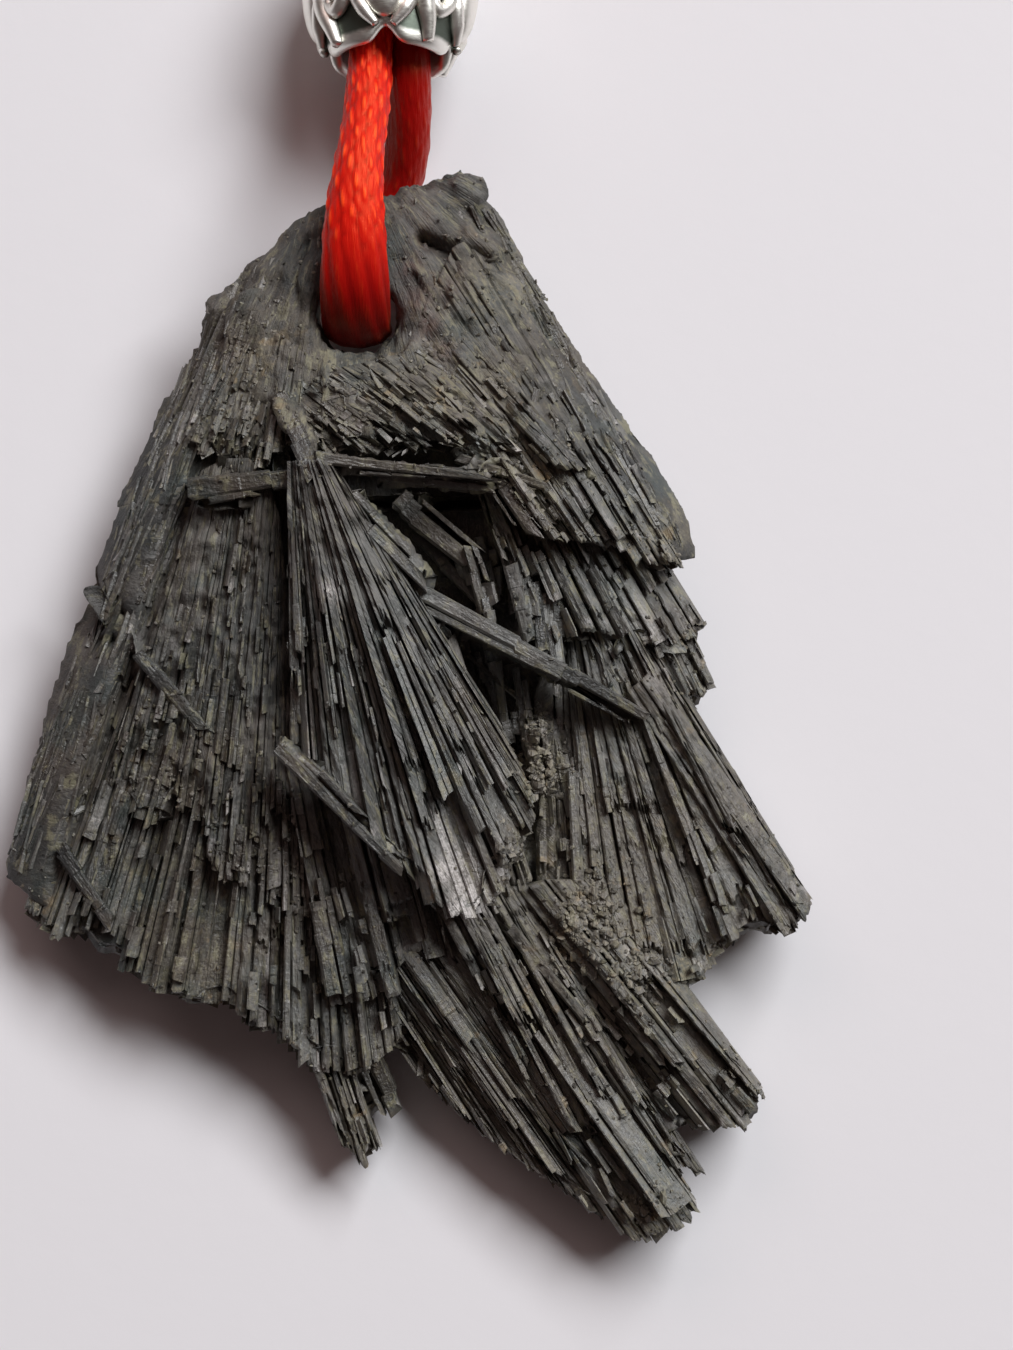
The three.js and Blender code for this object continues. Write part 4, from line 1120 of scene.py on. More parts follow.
underCentre = {
    "ribs": [
        ((2.6, 4.0, 6.6), (6.6, -9.0, 6.0)), ((1.0, 2.0, 7.4), (5.6, -13.0, 5.8)),
        ((-1.0, 0.0, 7.8), (3.2, -14.6, 5.8)), ((-3.0, -1.0, 8.0), (0.6, -15.2, 5.8)),
        ((-5.0, -2.0, 7.6), (-1.8, -15.8, 6.0)), ((-6.4, -3.0, 7.0), (-4.2, -16.0, 6.0)),
    ],
    "keel": (-1.0, -4.0, 2.2), "under": 3.2, "ragged": 2.4, "gap": (0.08, 0.45), "uneven": 0.4, "seed": 93,
}
rightLedges = [
    {
        "ribs": [
            ((4.4, 24.4, 6.2), (14.9, 7.0, 6.2)), ((3.4, 24.6, 6.6), (13.8, 7.0, 7.4)),
            ((2.4, 24.0, 7.2), (12.8, 7.2, 7.8)), ((1.8, 22.6, 7.4), (11.2, 7.8, 8.3)),
            ((1.0, 21.0, 7.5), (9.6, 8.2, 8.6)), ((0.4, 19.0, 7.6), (7.6, 8.6, 8.6)),
            ((-0.4, 17.0, 7.6), (5.6, 11.0, 8.5)),
        ],
        "keel": (5.0, 14.0, 3.4), "under": 5.4, "ragged": 1.8, "slab": 1.4, "blade": 0.85,
        "gap": (0.08, 0.4), "slope": 0.2,
        "uneven": 0.3, "worn": (0.62, 1.0), "above": 3, "aboveFrom": (0.5, 0.8), "aboveLong": (0.1, 0.3),
        "flakes": 90, "flakesFrom": (0.4, 0.95), "crumbs": 120, "seed": 113,
    },
    {
        "ribs": [
            ((10.2, 13.5, 4.8), (16.5, 3.6, 4.0)), ((8.1, 14.1, 6.2), (15.0, 2.6, 6.0)),
            ((5.9, 14.6, 6.6), (12.4, 2.4, 6.9)), ((4.4, 15.1, 6.7), (10.2, 2.8, 7.1)),
            ((3.3, 15.1, 6.6), (8.2, 2.6, 7.0)), ((2.5, 14.6, 6.4), (6.4, 3.4, 6.8)),
        ],
        "keel": (7.5, 8.0, 3.0), "under": 4.0, "ragged": 1.6, "slab": 1.4, "blade": 0.85,
        "gap": (0.1, 0.45), "slope": 0.26,
        "uneven": 0.34, "above": 2, "seed": 139,
    },
    {
        "ribs": [
            ((12.3, 9.8, 4.2), (16.8, 0.5, 3.6)), ((10.4, 10.4, 5.0), (15.8, -0.2, 5.0)),
            ((8.8, 9.8, 5.4), (14.2, -0.6, 5.8)), ((7.3, 9.8, 5.4), (12.4, 0.4, 6.0)),
            ((5.9, 9.8, 5.2), (10.6, 0.6, 5.8)),
        ],
        "keel": (8.0, 5.0, 2.4), "under": 2.8, "ragged": 1.4, "slab": 1.3, "blade": 0.8,
        "gap": (0.1, 0.4), "slope": 0.26, "above": 2,
        "seed": 163,
    },
]
rightWing = {
    "ribs": [
        ((13.1, 3.5, 4.2), (20.9, -9.0, 3.6)), ((12.4, 3.9, 5.0), (21.2, -10.2, 4.6)),
        ((11.8, 4.2, 5.3), (20.8, -12.6, 5.2)), ((11.2, 4.3, 5.3), (18.8, -12.2, 5.3)),
        ((10.6, 4.3, 5.2), (17.2, -13.6, 5.2)), ((9.9, 4.2, 5.2), (15.8, -15.4, 5.2)),
        ((9.3, 4.1, 5.0), (13.4, -15.6, 5.4)), ((8.7, 3.8, 4.8), (11.1, -15.0, 5.6)),
        ((8.1, 3.5, 4.6), (8.7, -14.0, 5.6)), ((6.6, 0.6, 4.4), (6.8, -13.4, 5.2)),
    ],
    "keel": (9.0, -4.0, 2.2), "under": 2.8, "ragged": 1.6, "slab": 1.9, "blade": 0.85,
    "gap": (0.06, 0.4), "uneven": 0.42,
    "slope": 0.26, "above": 3, "flakes": 120, "seed": 181,
}
wingSlab = {
    "ribs": [
        ((12.9, 2.0, 5.8), (21.5, -10.2, 4.9)), ((12.3, 1.4, 6.1), (21.0, -11.4, 5.5)),
        ((11.6, 0.8, 6.0), (20.2, -12.6, 5.4)),
    ],
    "keel": (12.0, 0.0, 3.0), "under": 3.4, "ragged": 0.2, "slab": 3.0, "blade": 1.4,
    "gap": (0.02, 0.06), "uneven": 0.05,
    "slope": 0.08, "above": 0, "flakes": 12, "crumbs": 12, "terrace": 0.07, "seed": 197,
}
tail = {
    "ribs": [
        ((4.9, -8.1, 5.0), (16.2, -25.4, 4.2)), ((3.3, -7.5, 5.2), (14.4, -24.6, 4.9)),
        ((1.7, -7.5, 5.2), (16.0, -27.6, 4.8)), ((0.2, -8.1, 5.2), (14.4, -28.4, 4.9)),
        ((-1.4, -8.6, 5.0), (12.6, -29.2, 4.8)), ((-3.0, -9.1, 4.6), (9.2, -26.8, 4.2)),
        ((-4.1, -10.2, 4.2), (4.4, -23.6, 3.5)), ((-4.8, -12.0, 3.8), (0.4, -19.8, 3.3)),
    ],
    "keel": (1.0, -12.0, 2.0), "under": 1.9, "ragged": 1.2, "slab": 2.3, "blade": 0.8,
    "gap": (0.05, 0.4), "uneven": 0.4,
    "slope": 0.24, "above": 3, "flakes": 130, "seed": 211,
}
tailUpper = {
    "ribs": [
        ((6.0, -9.4, 5.8), (13.0, -21.4, 5.4)), ((4.6, -9.6, 6.2), (12.0, -23.0, 5.6)),
        ((3.0, -10.0, 6.3), (9.8, -23.4, 5.7)), ((1.6, -10.6, 6.0), (7.2, -21.6, 5.4)),
    ],
    "keel": (3.0, -12.0, 3.0), "under": 3.2, "ragged": 3.0, "slab": 2.0, "blade": 0.8,
    "gap": (0.05, 0.4), "uneven": 0.34,
    "slope": 0.24, "seed": 233,
}
heel = {
    "ribs": [
        ((10.7, -9.1, 4.6), (19.0, -20.4, 3.8)), ((8.8, -9.1, 5.2), (19.2, -21.4, 4.8)),
        ((7.3, -9.1, 5.4), (18.2, -23.0, 5.1)), ((5.9, -9.6, 5.2), (16.6, -22.9, 5.0)),
        ((4.9, -10.2, 5.0), (14.6, -22.6, 4.6)),
    ],
    "keel": (8.0, -11.5, 2.2), "under": 2.1, "ragged": 0.8, "slab": 2.2, "blade": 0.9, "gap": (0.05, 0.36),
    "slope": 0.22, "seed": 251,
}
spur = {
    "ribs": [
        ((-4.0, -15.9, 3.8), (-1.5, -23.6, 3.4)), ((-5.1, -15.4, 3.9), (-2.2, -24.8, 3.5)),
        ((-6.4, -15.4, 3.5), (-3.6, -23.8, 3.0)),
    ],
    "keel": (-5.5, -15.6, 2.4), "under": 1.7, "ragged": 0.5, "flakes": 40, "crumbs": 20, "seed": 269,
}
collars = [
    {
        "ribs": [
            ((2.8, 20.2, 7.2), (9.8, 12.0, 8.9)), ((1.1, 18.9, 7.6), (7.6, 11.8, 9.2)),
            ((-1.3, 18.1, 7.9), (5.3, 12.5, 9.2)), ((-3.3, 17.7, 8.1), (3.2, 13.1, 9.1)),
            ((-4.8, 17.1, 8.3), (1.0, 13.1, 9.0)), ((-5.4, 16.2, 8.4), (-1.4, 12.8, 8.9)),
            ((-5.7, 15.0, 8.5), (-3.8, 12.7, 8.9)),
        ],
        "keel": (2.0, 15.0, 5.4), "under": 7.6, "ragged": 1.7, "slab": 1.2, "blade": 0.7,
        "gap": (0.04, 0.3), "worn": (0.5, 1.0), "flakes": 120,
        "aboveFrom": (0.3, 0.8), "aboveLong": (0.15, 0.4), "crumbs": 120, "seed": 283,
    },
    {
        "ribs": [
            ((-5.2, 18.4, 7.6), (-5.6, 13.0, 8.6)), ((-6.2, 19.2, 7.2), (-7.6, 12.0, 8.4)),
            ((-7.4, 20.0, 6.8), (-9.8, 12.4, 7.9)), ((-8.6, 20.6, 6.2), (-11.8, 13.2, 6.6)),
        ],
        "keel": (-7.2, 15.0, 5.0), "under": 6.4, "ragged": 1.2, "slab": 1.2, "worn": (0.7, 1.0),
        "flakes": 90, "crumbs": 120, "seed": 307,
    },
]


def linesAt(ribs, u):
    # the fan's lines at shares u of the way from the first rib to the last
    place = np.clip(u, 0, 1) * (len(ribs) - 1)
    index = np.arange(len(ribs))
    ends = []
    for end in range(2):
        axes = [np.interp(place, index, ribs[:, end, axis]) for axis in range(ribs.shape[2])]
        ends.append(np.stack(axes, axis=-1))
    return np.stack(ends, axis=1)


def stripSpan(ribs):
    return np.linalg.norm(np.diff(ribs[:, 1, :2], axis=0), axis=1).sum()


def bladeShares(rng, ribs, slab, blade, gap):
    # splits the fan across into slabs and each slab into blades; shares run from the first rib to the last
    steps = np.linalg.norm(np.diff(ribs[:, 1, :2], axis=0), axis=1) + 0.25
    arc = np.concatenate([[0], np.cumsum(steps)])
    count = max(2, int(round(arc[-1] / slab)))
    widths = rng.lognormal(0, 0.5, count)
    edges = np.concatenate([[0], np.cumsum(widths)]) / widths.sum() * arc[-1]
    crevice = 0.015  # mm left open on each side of a blade
    low, high, owner, offset = [], [], [], []
    for i in range(count):
        space = (gap[0] + (gap[1] - gap[0]) * rng.random() ** 1.6) / 2
        begin, finish = edges[i] + space, max(edges[i + 1] - space, edges[i] + space + 0.15)
        parts = max(1, int(round((finish - begin) / blade + rng.uniform(-0.6, 0.5))))
        sizes = rng.lognormal(0, 0.5, parts)
        cuts = begin + (finish - begin) * np.concatenate([[0], np.cumsum(sizes)]) / sizes.sum()
        low.extend(cuts[:-1] + crevice)
        high.extend(np.maximum(cuts[1:] - crevice, cuts[:-1] + 2 * crevice))
        owner.extend([i] * parts)
        offset.extend((cuts[:-1] + cuts[1:] - begin - finish) / 2)
    shares = np.linspace(0, 1, len(ribs))
    return np.interp(low, arc, shares), np.interp(high, arc, shares), np.array(owner), np.array(offset)


def inGroups(rng, count, amount, most=4):
    # random values shared by a few neighbours each
    values = np.empty(count)
    i = 0
    while i < count:
        group = rng.integers(1, most)
        values[i:i + group] = rng.normal(0, amount)
        i += group
    return values


def tipCuts(rng, count, most, long):
    # shares of the length at which slabs end
    broken = np.clip(rng.random(count) ** 1.3 * 0.55 + np.abs(inGroups(rng, count, 0.3)), 0, 1.1)
    return 1 - most * broken / long


def terraces(rng, t, owner, breaks, amount, jitter):
    # each owner steps down towards its tip at a few random places
    count = owner.max() + 1
    places = rng.uniform(0.05, 0.98, (count, breaks))
    steps = rng.exponential(amount, (count, breaks))
    high = -np.repeat(steps.sum(1)[owner][:, None] / 2, len(t), axis=1)
    for i in range(breaks):
        high += steps[owner, i][:, None] * (t[None] < (places[owner, i] + jitter)[:, None])
    return high


def sheetColumns(rng, fan, span, low, high, owner):
    # lines of points along the sheet: several on each blade, one or two down in the groove after it
    columns = []
    for i in range(len(low)):
        share = high[i] - low[i]
        wide = share * span
        brink = min(0.22, fan["brink"] / wide)
        lean, crown = rng.normal(0, fan["lean"]), rng.uniform(*fan["crown"])
        fall = lean * wide / 2
        columns.append((low[i], i, -fan["edge"] - fall, 1.0, False, wide))
        columns.append((low[i] + share * brink, i, -0.02 - fall, 0.6, False, wide))
        inside = max(1, int(round(wide / fan["column"])))
        for inner in np.linspace(brink, 1 - brink, inside + 2)[1:-1]:
            height = crown + rng.normal(0, 0.02) + lean * wide * (inner - 0.5)
            columns.append((low[i] + share * inner, i, height, 0.0, False, wide))
        columns.append((high[i] - share * brink, i, -0.02 + fall, 0.6, False, wide))
        columns.append((high[i], i, -fan["edge"] + fall, 1.0, False, wide))
        if i + 1 == len(low):
            continue
        apart = owner[i + 1] != owner[i]
        depth = rng.uniform(*fan["groove"]) if apart else 0.05 + 0.55 * rng.random() ** 2.4
        for inner in ((0.2, 0.8) if apart else (0.5,)):
            place = high[i] + (low[i + 1] - high[i]) * inner
            columns.append((place, i + (inner > 0.6), -depth, 0.0, True, fan["slab"] if apart else wide))
    return (np.array(values) for values in zip(*columns))


def gridQuads(grid):
    corners = [grid[:-1, :-1], grid[:-1, 1:], grid[1:, 1:], grid[1:, :-1]]
    return np.stack(corners, axis=-1).reshape(-1, 4)


def carvedSheet(rng, fan, ribs, long):
    # the fan's upper face as one closed sheet, with grooves between its slabs and between their blades
    seed = fan["seed"]
    low, high, owner, offset = bladeShares(rng, ribs, fan["slab"], fan["blade"], fan["gap"])
    blades, slabs = len(low), owner[-1] + 1
    slabEnd = tipCuts(rng, slabs, fan["ragged"], long)
    bladeEnd = slabEnd[owner] - rng.uniform(0, 0.8, blades) ** 2 * 1.3 / long
    slope = rng.normal(0, fan["slope"], slabs)[owner]
    raised = inGroups(rng, slabs, fan["uneven"], 3)[owner] - 2 * slope * offset + rng.normal(0, 0.09, blades)
    raised -= 0.6 * (rng.random(blades) < 0.07)
    bladeTone = np.clip(0.5 + rng.normal(0, 0.13, slabs)[owner] + rng.normal(0, 0.15, blades), 0, 1)
    span = stripSpan(ribs)
    u, mine, relief, atEdge, inGroove, wideHere = sheetColumns(rng, fan, span, low, high, owner)
    columns = len(u)
    jitter = rng.normal(0, 0.16, columns) + rng.normal(0, 0.5, blades)[mine] * rng.uniform(-0.5, 0.5, columns)
    rows = max(12, int(long / fan["row"]))
    t = np.linspace(0, 1, rows)
    end = np.clip(bladeEnd[mine] + (0.3 * np.minimum(jitter, 0.3) - 0.25 * inGroove) / long, 0.1, 1.03)
    lines = linesAt(ribs, u)
    along = t[None, :] * end[:, None]
    base = lines[:, None, 0] + (lines[:, None, 1] - lines[:, None, 0]) * along[..., None]
    rootShare = np.linalg.norm(np.diff(ribs[:, 0, :2], axis=0), axis=1).sum() / span
    width = rootShare + (1 - rootShare) * along
    narrow = smoothStep(0.08, 0.34, wideHere[:, None] * width)
    across = (u * span)[:, None] * width
    far = along * long
    size = across.shape
    grain = np.stack([across, far, np.zeros(size)], axis=-1).reshape(-1, 3)
    place = base.reshape(-1, 3)

    def field(points, cell, number):
        return cloud(points, cell, seed + number).reshape(size)

    upto, amount = fan["worn"]
    worn = amount * smoothStep(upto + 0.16, upto - 0.10, along + 0.12 * field(grain, (1.6, 500.0, 1.0), 4))
    streaks = field(grain, (0.16, 2.2, 1.0), 0)
    ridges = field(grain, (0.42, 4.5, 1.0), 1)
    bundles = field(grain, (2.4, 15.0, 1.0), 5)
    grit = field(place, 0.32, 2)
    lumps = field(place, 0.9, 3)
    splits = smoothStep(0.30, 0.55, field(grain, (0.8, 0.24, 1.0), 6))
    chipped = smoothStep(0.15, 0.55, cloud(grain + mine.repeat(rows)[:, None] * 3.7, (9.0, 0.45, 1.0), 7.0))
    z = (raised[mine][:, None] + relief[:, None] * narrow) * (1 - 0.9 * worn) + 0.3 * bundles
    z += 0.03 * streaks + 0.06 * ridges + (0.03 + 0.11 * worn) * grit + (0.05 + 0.28 * worn) * lumps
    z -= 0.2 * atEdge[:, None] * chipped.reshape(size) * (1 - worn) * narrow + 0.07 * splits * worn
    z += terraces(rng, t, owner[mine], 3, fan["terrace"] * 1.6, jitter / long) * (1 - 0.6 * worn)
    z += terraces(rng, t, mine, 3, fan["terrace"], 1.6 * jitter / long) * (1 - 0.85 * worn)
    z -= 0.16 * smoothStep(1 - 0.25 / long, 1.0, t)[None, :] * rng.uniform(0.2, 1.4, blades)[mine][:, None]
    top = base.copy()
    top[..., 2] += z
    # closed below by a plain floor of a few rows
    under = np.array([0.5, 0.3, 0.1, -0.1])
    floorRows = np.linspace(0, rows - 1, len(under)).astype(int)
    floor = base[:, floorRows].copy()
    floor[..., 2] -= fan["thick"] + under[None, :]
    floorSize = (columns, len(under))
    upper = np.arange(columns * rows).reshape(columns, rows)
    lower = columns * rows + np.arange(columns * len(under)).reshape(floorSize)
    tipWall = np.stack([upper[:-1, -1], lower[:-1, -1], lower[1:, -1], upper[1:, -1]], axis=-1)
    rootWall = np.stack([upper[1:, 0], lower[1:, 0], lower[:-1, 0], upper[:-1, 0]], axis=-1)
    firstWall, lastWall = (np.concatenate([upper[i], lower[i, ::-1]]) for i in (0, -1))
    quads = np.concatenate([gridQuads(upper), gridQuads(lower)[:, ::-1], tipWall, rootWall])
    floorGrain = np.stack([across[:, floorRows], far[:, floorRows], np.ones(floorSize)], -1).reshape(-1, 3)
    grain = np.concatenate([grain, floorGrain])
    grain[:, 0] += np.concatenate([np.repeat(mine, rows), np.repeat(mine, len(under))]) * 7.3
    toTip = ((1 - t)[None, :] * long * np.ones((columns, 1))).ravel()
    # painted shade: the tone is darker down in the grooves between blades and slabs
    tone = bladeTone[mine][:, None] * (1 - worn) + 0.46 * worn - 0.25 * inGroove[:, None]
    plainFloor = np.zeros(floorSize).ravel()
    rubbed = np.zeros(len(quads), dtype=bool)
    rubbed[:(columns - 1) * (rows - 1)] = (worn > 0.45)[:-1, :-1].ravel()
    sheet = {
        "points": np.concatenate([top.reshape(-1, 3), floor.reshape(-1, 3)]),
        "faces": quads,
        "walls": [firstWall[::-1][None], lastWall[None]],
        "grain": grain,
        "toTip": np.concatenate([toTip, plainFloor]),
        "tone": np.concatenate([tone.ravel(), plainFloor + 0.3]),
        "rub": np.concatenate([worn.ravel(), plainFloor]),
        "smooth": rubbed,
    }
    middles = (low + high) / 2
    return sheet, lambda share: np.interp(share, middles, bladeEnd)


def layFan(plan):
    fan = {**fanHabit, **plan}
    rng = np.random.default_rng(fan["seed"])
    ribs = np.array(fan["ribs"])
    long = np.linalg.norm(ribs[:, 1] - ribs[:, 0], axis=1).mean()
    sheet, endAt = carvedSheet(rng, fan, ribs, long)
    sets = []

    def lay(ribsHere, slab, blade, start, end, lift, depth, keep=1.0, past=0.0, **habit):
        # one layer of blades along the ribs; start, end and lift give a value for each slab
        low, high, owner, offset = bladeShares(rng, ribsHere, slab, blade, fan["gap"])
        slabs, count = owner[-1] + 1, len(owner)
        slope = rng.normal(0, fan["slope"], slabs)[owner]
        begin = start(slabs)[owner] + rng.uniform(0, 0.3, count) / long
        finish = end(slabs)[owner] - rng.uniform(0, 0.35, count) ** 2 * 2 / long
        finish = np.minimum(finish, endAt((low + high) / 2) + past / long)
        raised = lift(slabs)[owner] - 2 * slope * offset + rng.normal(0, 0.05, count)
        kept = (rng.random(slabs) < keep)[owner] & (rng.random(count) < 0.96) & (finish > begin + 0.6 / long)
        if not kept.any():
            return
        left, right = linesAt(ribsHere, high[kept]), linesAt(ribsHere, low[kept])
        roll = slope[kept] + rng.normal(0, 0.07, kept.sum())
        sets.append(bladeSet(rng, left, right, begin[kept], finish[kept], raised[kept], roll,
                             np.full(kept.sum(), depth), **habit))

    most = 400  # more slabs than any fan has
    for layer in range(fan["above"]):
        begin = rng.uniform(*fan["aboveFrom"], most)
        finish = np.minimum(begin + rng.uniform(*fan["aboveLong"], most), 0.98)
        slab, blade = fan["slab"] * rng.uniform(0.6, 0.9), fan["blade"] * rng.uniform(0.8, 1.1)
        lay(ribs, slab, blade, lambda n: begin[:n], lambda n: finish[:n],
            lambda n: fan["aboveStep"] * (layer + 0.7) + rng.normal(0, 0.09, n), 0.5,
            keep=fan["aboveShare"], past=-0.15, breaks=3, drop=0.05)
    # thick layers below the sheet, down to the fan's foot
    deep = ribs[:, 1, 2].mean() - fan["under"]
    layers = max(1, int(round(deep / 0.75)))
    for layer in range(1, layers + 1):
        sunk = ribs.copy()
        sunk[:, :, 2] -= deep * layer / (layers + 0.6)
        lay(sunk, fan["slab"], fan["blade"], lambda n: rng.uniform(0.35, 0.6, n),
            lambda n: tipCuts(rng, n, fan["ragged"] * 0.9, long) + rng.uniform(-0.4, 0.35, n) / long,
            lambda n: inGroups(rng, n, 0.12), 0.7, past=0.25, breaks=2)
    # the underside, blades seen from below
    feet = ribs.copy()
    feet[:, 1, 2] = fan["under"] - 0.05
    keel = np.array(fan["keel"])
    feet[:, 0] = keel + (feet[:, 1] - keel) * 0.12
    lay(feet, fan["slab"], fan["blade"], np.zeros, lambda n: 1 - rng.random(n) * fan["ragged"] * 0.6 / long,
        lambda n: np.abs(inGroups(rng, n, 0.14)), -0.6, breaks=3)
    # small flakes left lying along the blades
    count = fan["flakes"]
    u = rng.random(count)
    turn = rng.normal(0, 0.05, count) + (rng.random(count) < 0.12) * rng.normal(0, 0.3, count)
    half = rng.uniform(0.08, 0.32, count) / max(stripSpan(ribs), 1.0)
    begin = rng.uniform(*fan["flakesFrom"], count)
    finish = np.minimum(begin + rng.uniform(0.4, 1.9, count) / long, endAt(u) - 0.1 / long)
    kept = finish > begin + 0.2 / long
    left, right = linesAt(ribs, u + half), linesAt(ribs, u - half)
    left[:, 1] = linesAt(ribs, u + half + turn)[:, 1]
    right[:, 1] = linesAt(ribs, u - half + turn)[:, 1]
    count = kept.sum()
    lift, roll = rng.uniform(-0.05, 0.36, count), rng.normal(0, 0.35, count)
    sets.append(bladeSet(rng, left[kept], right[kept], begin[kept], finish[kept], lift, roll,
                         np.full(count, 0.36), breaks=1))
    return {"sheets": [sheet], "blades": gather(sets)}


# single crystals that lie across the fans: from, to, width, end width, depth, roll
strayCrystals = [
    ((-4.8, 12.6, 10.8), (4.3, 11.8, 9.5), 1.0, 0.5, 0.9, 0.15),
    ((-1.4, 11.9, 9.4), (4.7, 11.2, 8.7), 0.5, 0.4, 0.8, 0.1),
    ((-11.3, 11.2, 8.2), (-5.4, 12.0, 9.6), 1.7, 1.3, 2.2, 0.2),
    ((-6.6, 16.4, 8.6), (-4.2, 12.0, 10.7), 1.1, 1.4, 3.0, -0.2),
    ((-3.0, 10.9, 10.3), (1.4, 6.5, 9.3), 1.5, 1.2, 1.6, -0.15),
    ((-1.8, 7.0, 8.0), (8.1, 1.6, 8.3), 1.6, 1.3, 2.4, 0.2),
    ((7.3, 2.1, 8.1), (12.4, -0.9, 7.1), 1.3, 0.8, 1.5, 0.1),
    ((-6.6, -1.5, 10.9), (0.3, -8.2, 10.7), 1.4, 0.9, 1.8, 0.2),
    ((-14.2, 3.0, 6.9), (-10.3, -1.5, 7.5), 0.8, 0.8, 1.2, 0.1),
    ((-18.5, -7.4, 4.9), (-15.5, -11.6, 5.6), 0.9, 0.9, 1.2, 0.1),
    ((-0.6, 11.2, 6.0), (3.7, 7.8, 6.8), 1.6, 1.3, 3.4, 0.2),
    ((0.4, 9.4, 5.2), (4.0, 5.8, 5.6), 1.2, 1.0, 2.8, -0.2),
    ((3.2, 8.6, 7.4), (4.4, 4.8, 7.4), 0.9, 0.8, 1.6, 0.1),
    ((5.4, 7.6, 7.6), (6.4, 3.4, 7.4), 0.8, 0.7, 1.4, 0.1),
    ((4.6, 11.8, 8.0), (6.6, 8.6, 8.6), 1.0, 0.9, 1.6, 0.2),
    ((2.6, 12.8, 8.4), (7.6, 11.2, 8.8), 1.0, 0.8, 1.4, 0.2),
    ((5.3, -11.6, 6.5), (9.4, -16.4, 6.2), 0.7, 0.6, 1.4, 0.1),
    ((6.6, -0.6, 6.8), (7.2, -4.4, 6.6), 1.2, 1.0, 2.4, 0.1),
    ((-2.2, -18.6, 3.6), (-1.2, -21.8, 3.0), 1.4, 1.2, 1.4, 0.1),
]


def layCrystals():
    # each is one chipped blade with a thinner, shorter one grown against it
    rng = np.random.default_rng(401)
    sets = []
    for begin, finish, width, endWidth, depth, roll in strayCrystals:
        a, b = np.array(begin), np.array(finish)
        along = (b - a)[:2] / np.linalg.norm((b - a)[:2])
        side = np.array([-along[1], along[0], 0])
        parts = 1 if width < 0.85 else 2
        split = rng.uniform(0.1, 0.3) * rng.choice((-1, 1))
        edges = np.array([-0.5, 0.5]) if parts == 1 else np.array([-0.5, split, 0.5])
        turn = rng.normal(0, 0.12, parts)
        left, right = (
            np.array([[a + side * e * width, b + side * (e + s) * endWidth] for e, s in zip(places, turn)])
            for places in (edges[1:] - 0.02, edges[:-1] + 0.02)
        )
        tilt = edges[:, None] * 2 * roll
        left[..., 2] += tilt[1:]
        right[..., 2] += tilt[:-1]
        long = np.linalg.norm(b - a)
        narrow = np.diff(edges) < 0.5
        start = rng.uniform(0, 0.3, parts) / long + narrow * rng.uniform(0, 0.3, parts)
        end = 1 - rng.uniform(0, 0.4, parts) / long - narrow * rng.uniform(0, 0.4, parts)
        lift = rng.normal(0, 0.07, parts) - 0.1 * narrow
        sets.append(bladeSet(rng, left, right, start, end, lift, np.full(parts, roll / 2),
                             np.full(parts, depth), ragged=0.25, bend=0.1))
    return gather(sets)


# flakes that lie along lines on the core: each line from and to in mm
crustRuns = [
    {   # left of the hole
        "lines": [((-3.6, 27.4), (-6.2, 14.0)), ((-5.2, 27.0), (-8.4, 13.4)), ((-7.6, 24.6), (-11.0, 12.6)),
                  ((-9.8, 22.0), (-13.2, 13.6))],
        "flakes": 90, "long": (0.8, 3.6), "wide": (0.16, 0.6), "lift": (-0.14, -0.02), "seed": 503,
    },
    {   # right of the cord
        "lines": [((-0.6, 27.6), (2.2, 18.4)), ((1.6, 28.4), (5.6, 16.4)), ((3.6, 27.4), (9.6, 12.6)),
                  ((4.4, 25.8), (13.4, 8.6))],
        "flakes": 110, "long": (1.0, 4.6), "wide": (0.18, 0.8), "lift": (-0.14, 0.0), "seed": 509,
    },
    {   # below the hole
        "lines": [((-5.8, 16.8), (-2.4, 13.0)), ((-5.0, 17.6), (1.0, 13.2)), ((-3.4, 18.0), (4.6, 13.2)),
                  ((-0.6, 18.8), (7.4, 12.6)), ((1.6, 20.4), (8.8, 12.8))],
        "flakes": 190, "long": (1.0, 3.4), "wide": (0.25, 0.8), "lift": (-0.10, 0.10), "seed": 521,
    },
    {   # the left flank, fine and nearly smooth
        "lines": [((-7.8, 20.8), (-19.4, -11.0)), ((-8.8, 21.4), (-20.5, -10.6)),
                  ((-9.9, 21.8), (-21.5, -10.0)), ((-10.7, 21.2), (-22.0, -9.4))],
        "flakes": 460, "long": (1.6, 7.0), "wide": (0.14, 0.5), "lift": (-0.08, 0.03), "seed": 523,
    },
    {   # short blades down between the centre fan and the wing
        "lines": [((2.2, 8.6), (4.6, -2.0)), ((4.0, 8.2), (6.2, -5.4)), ((6.0, 7.0), (7.6, -5.6)),
                  ((8.0, 5.4), (9.2, -5.0))],
        "flakes": 190, "long": (1.6, 5.0), "wide": (0.3, 0.85), "lift": (0.15, 1.25), "depth": 1.4,
        "seed": 557,
    },
    {   # the right flank
        "lines": [((4.2, 25.6), (14.2, 7.6)), ((4.8, 25.6), (15.0, 7.8))],
        "flakes": 140, "long": (1.6, 6.0), "wide": (0.14, 0.5), "lift": (-0.06, 0.02), "seed": 541,
    },
]


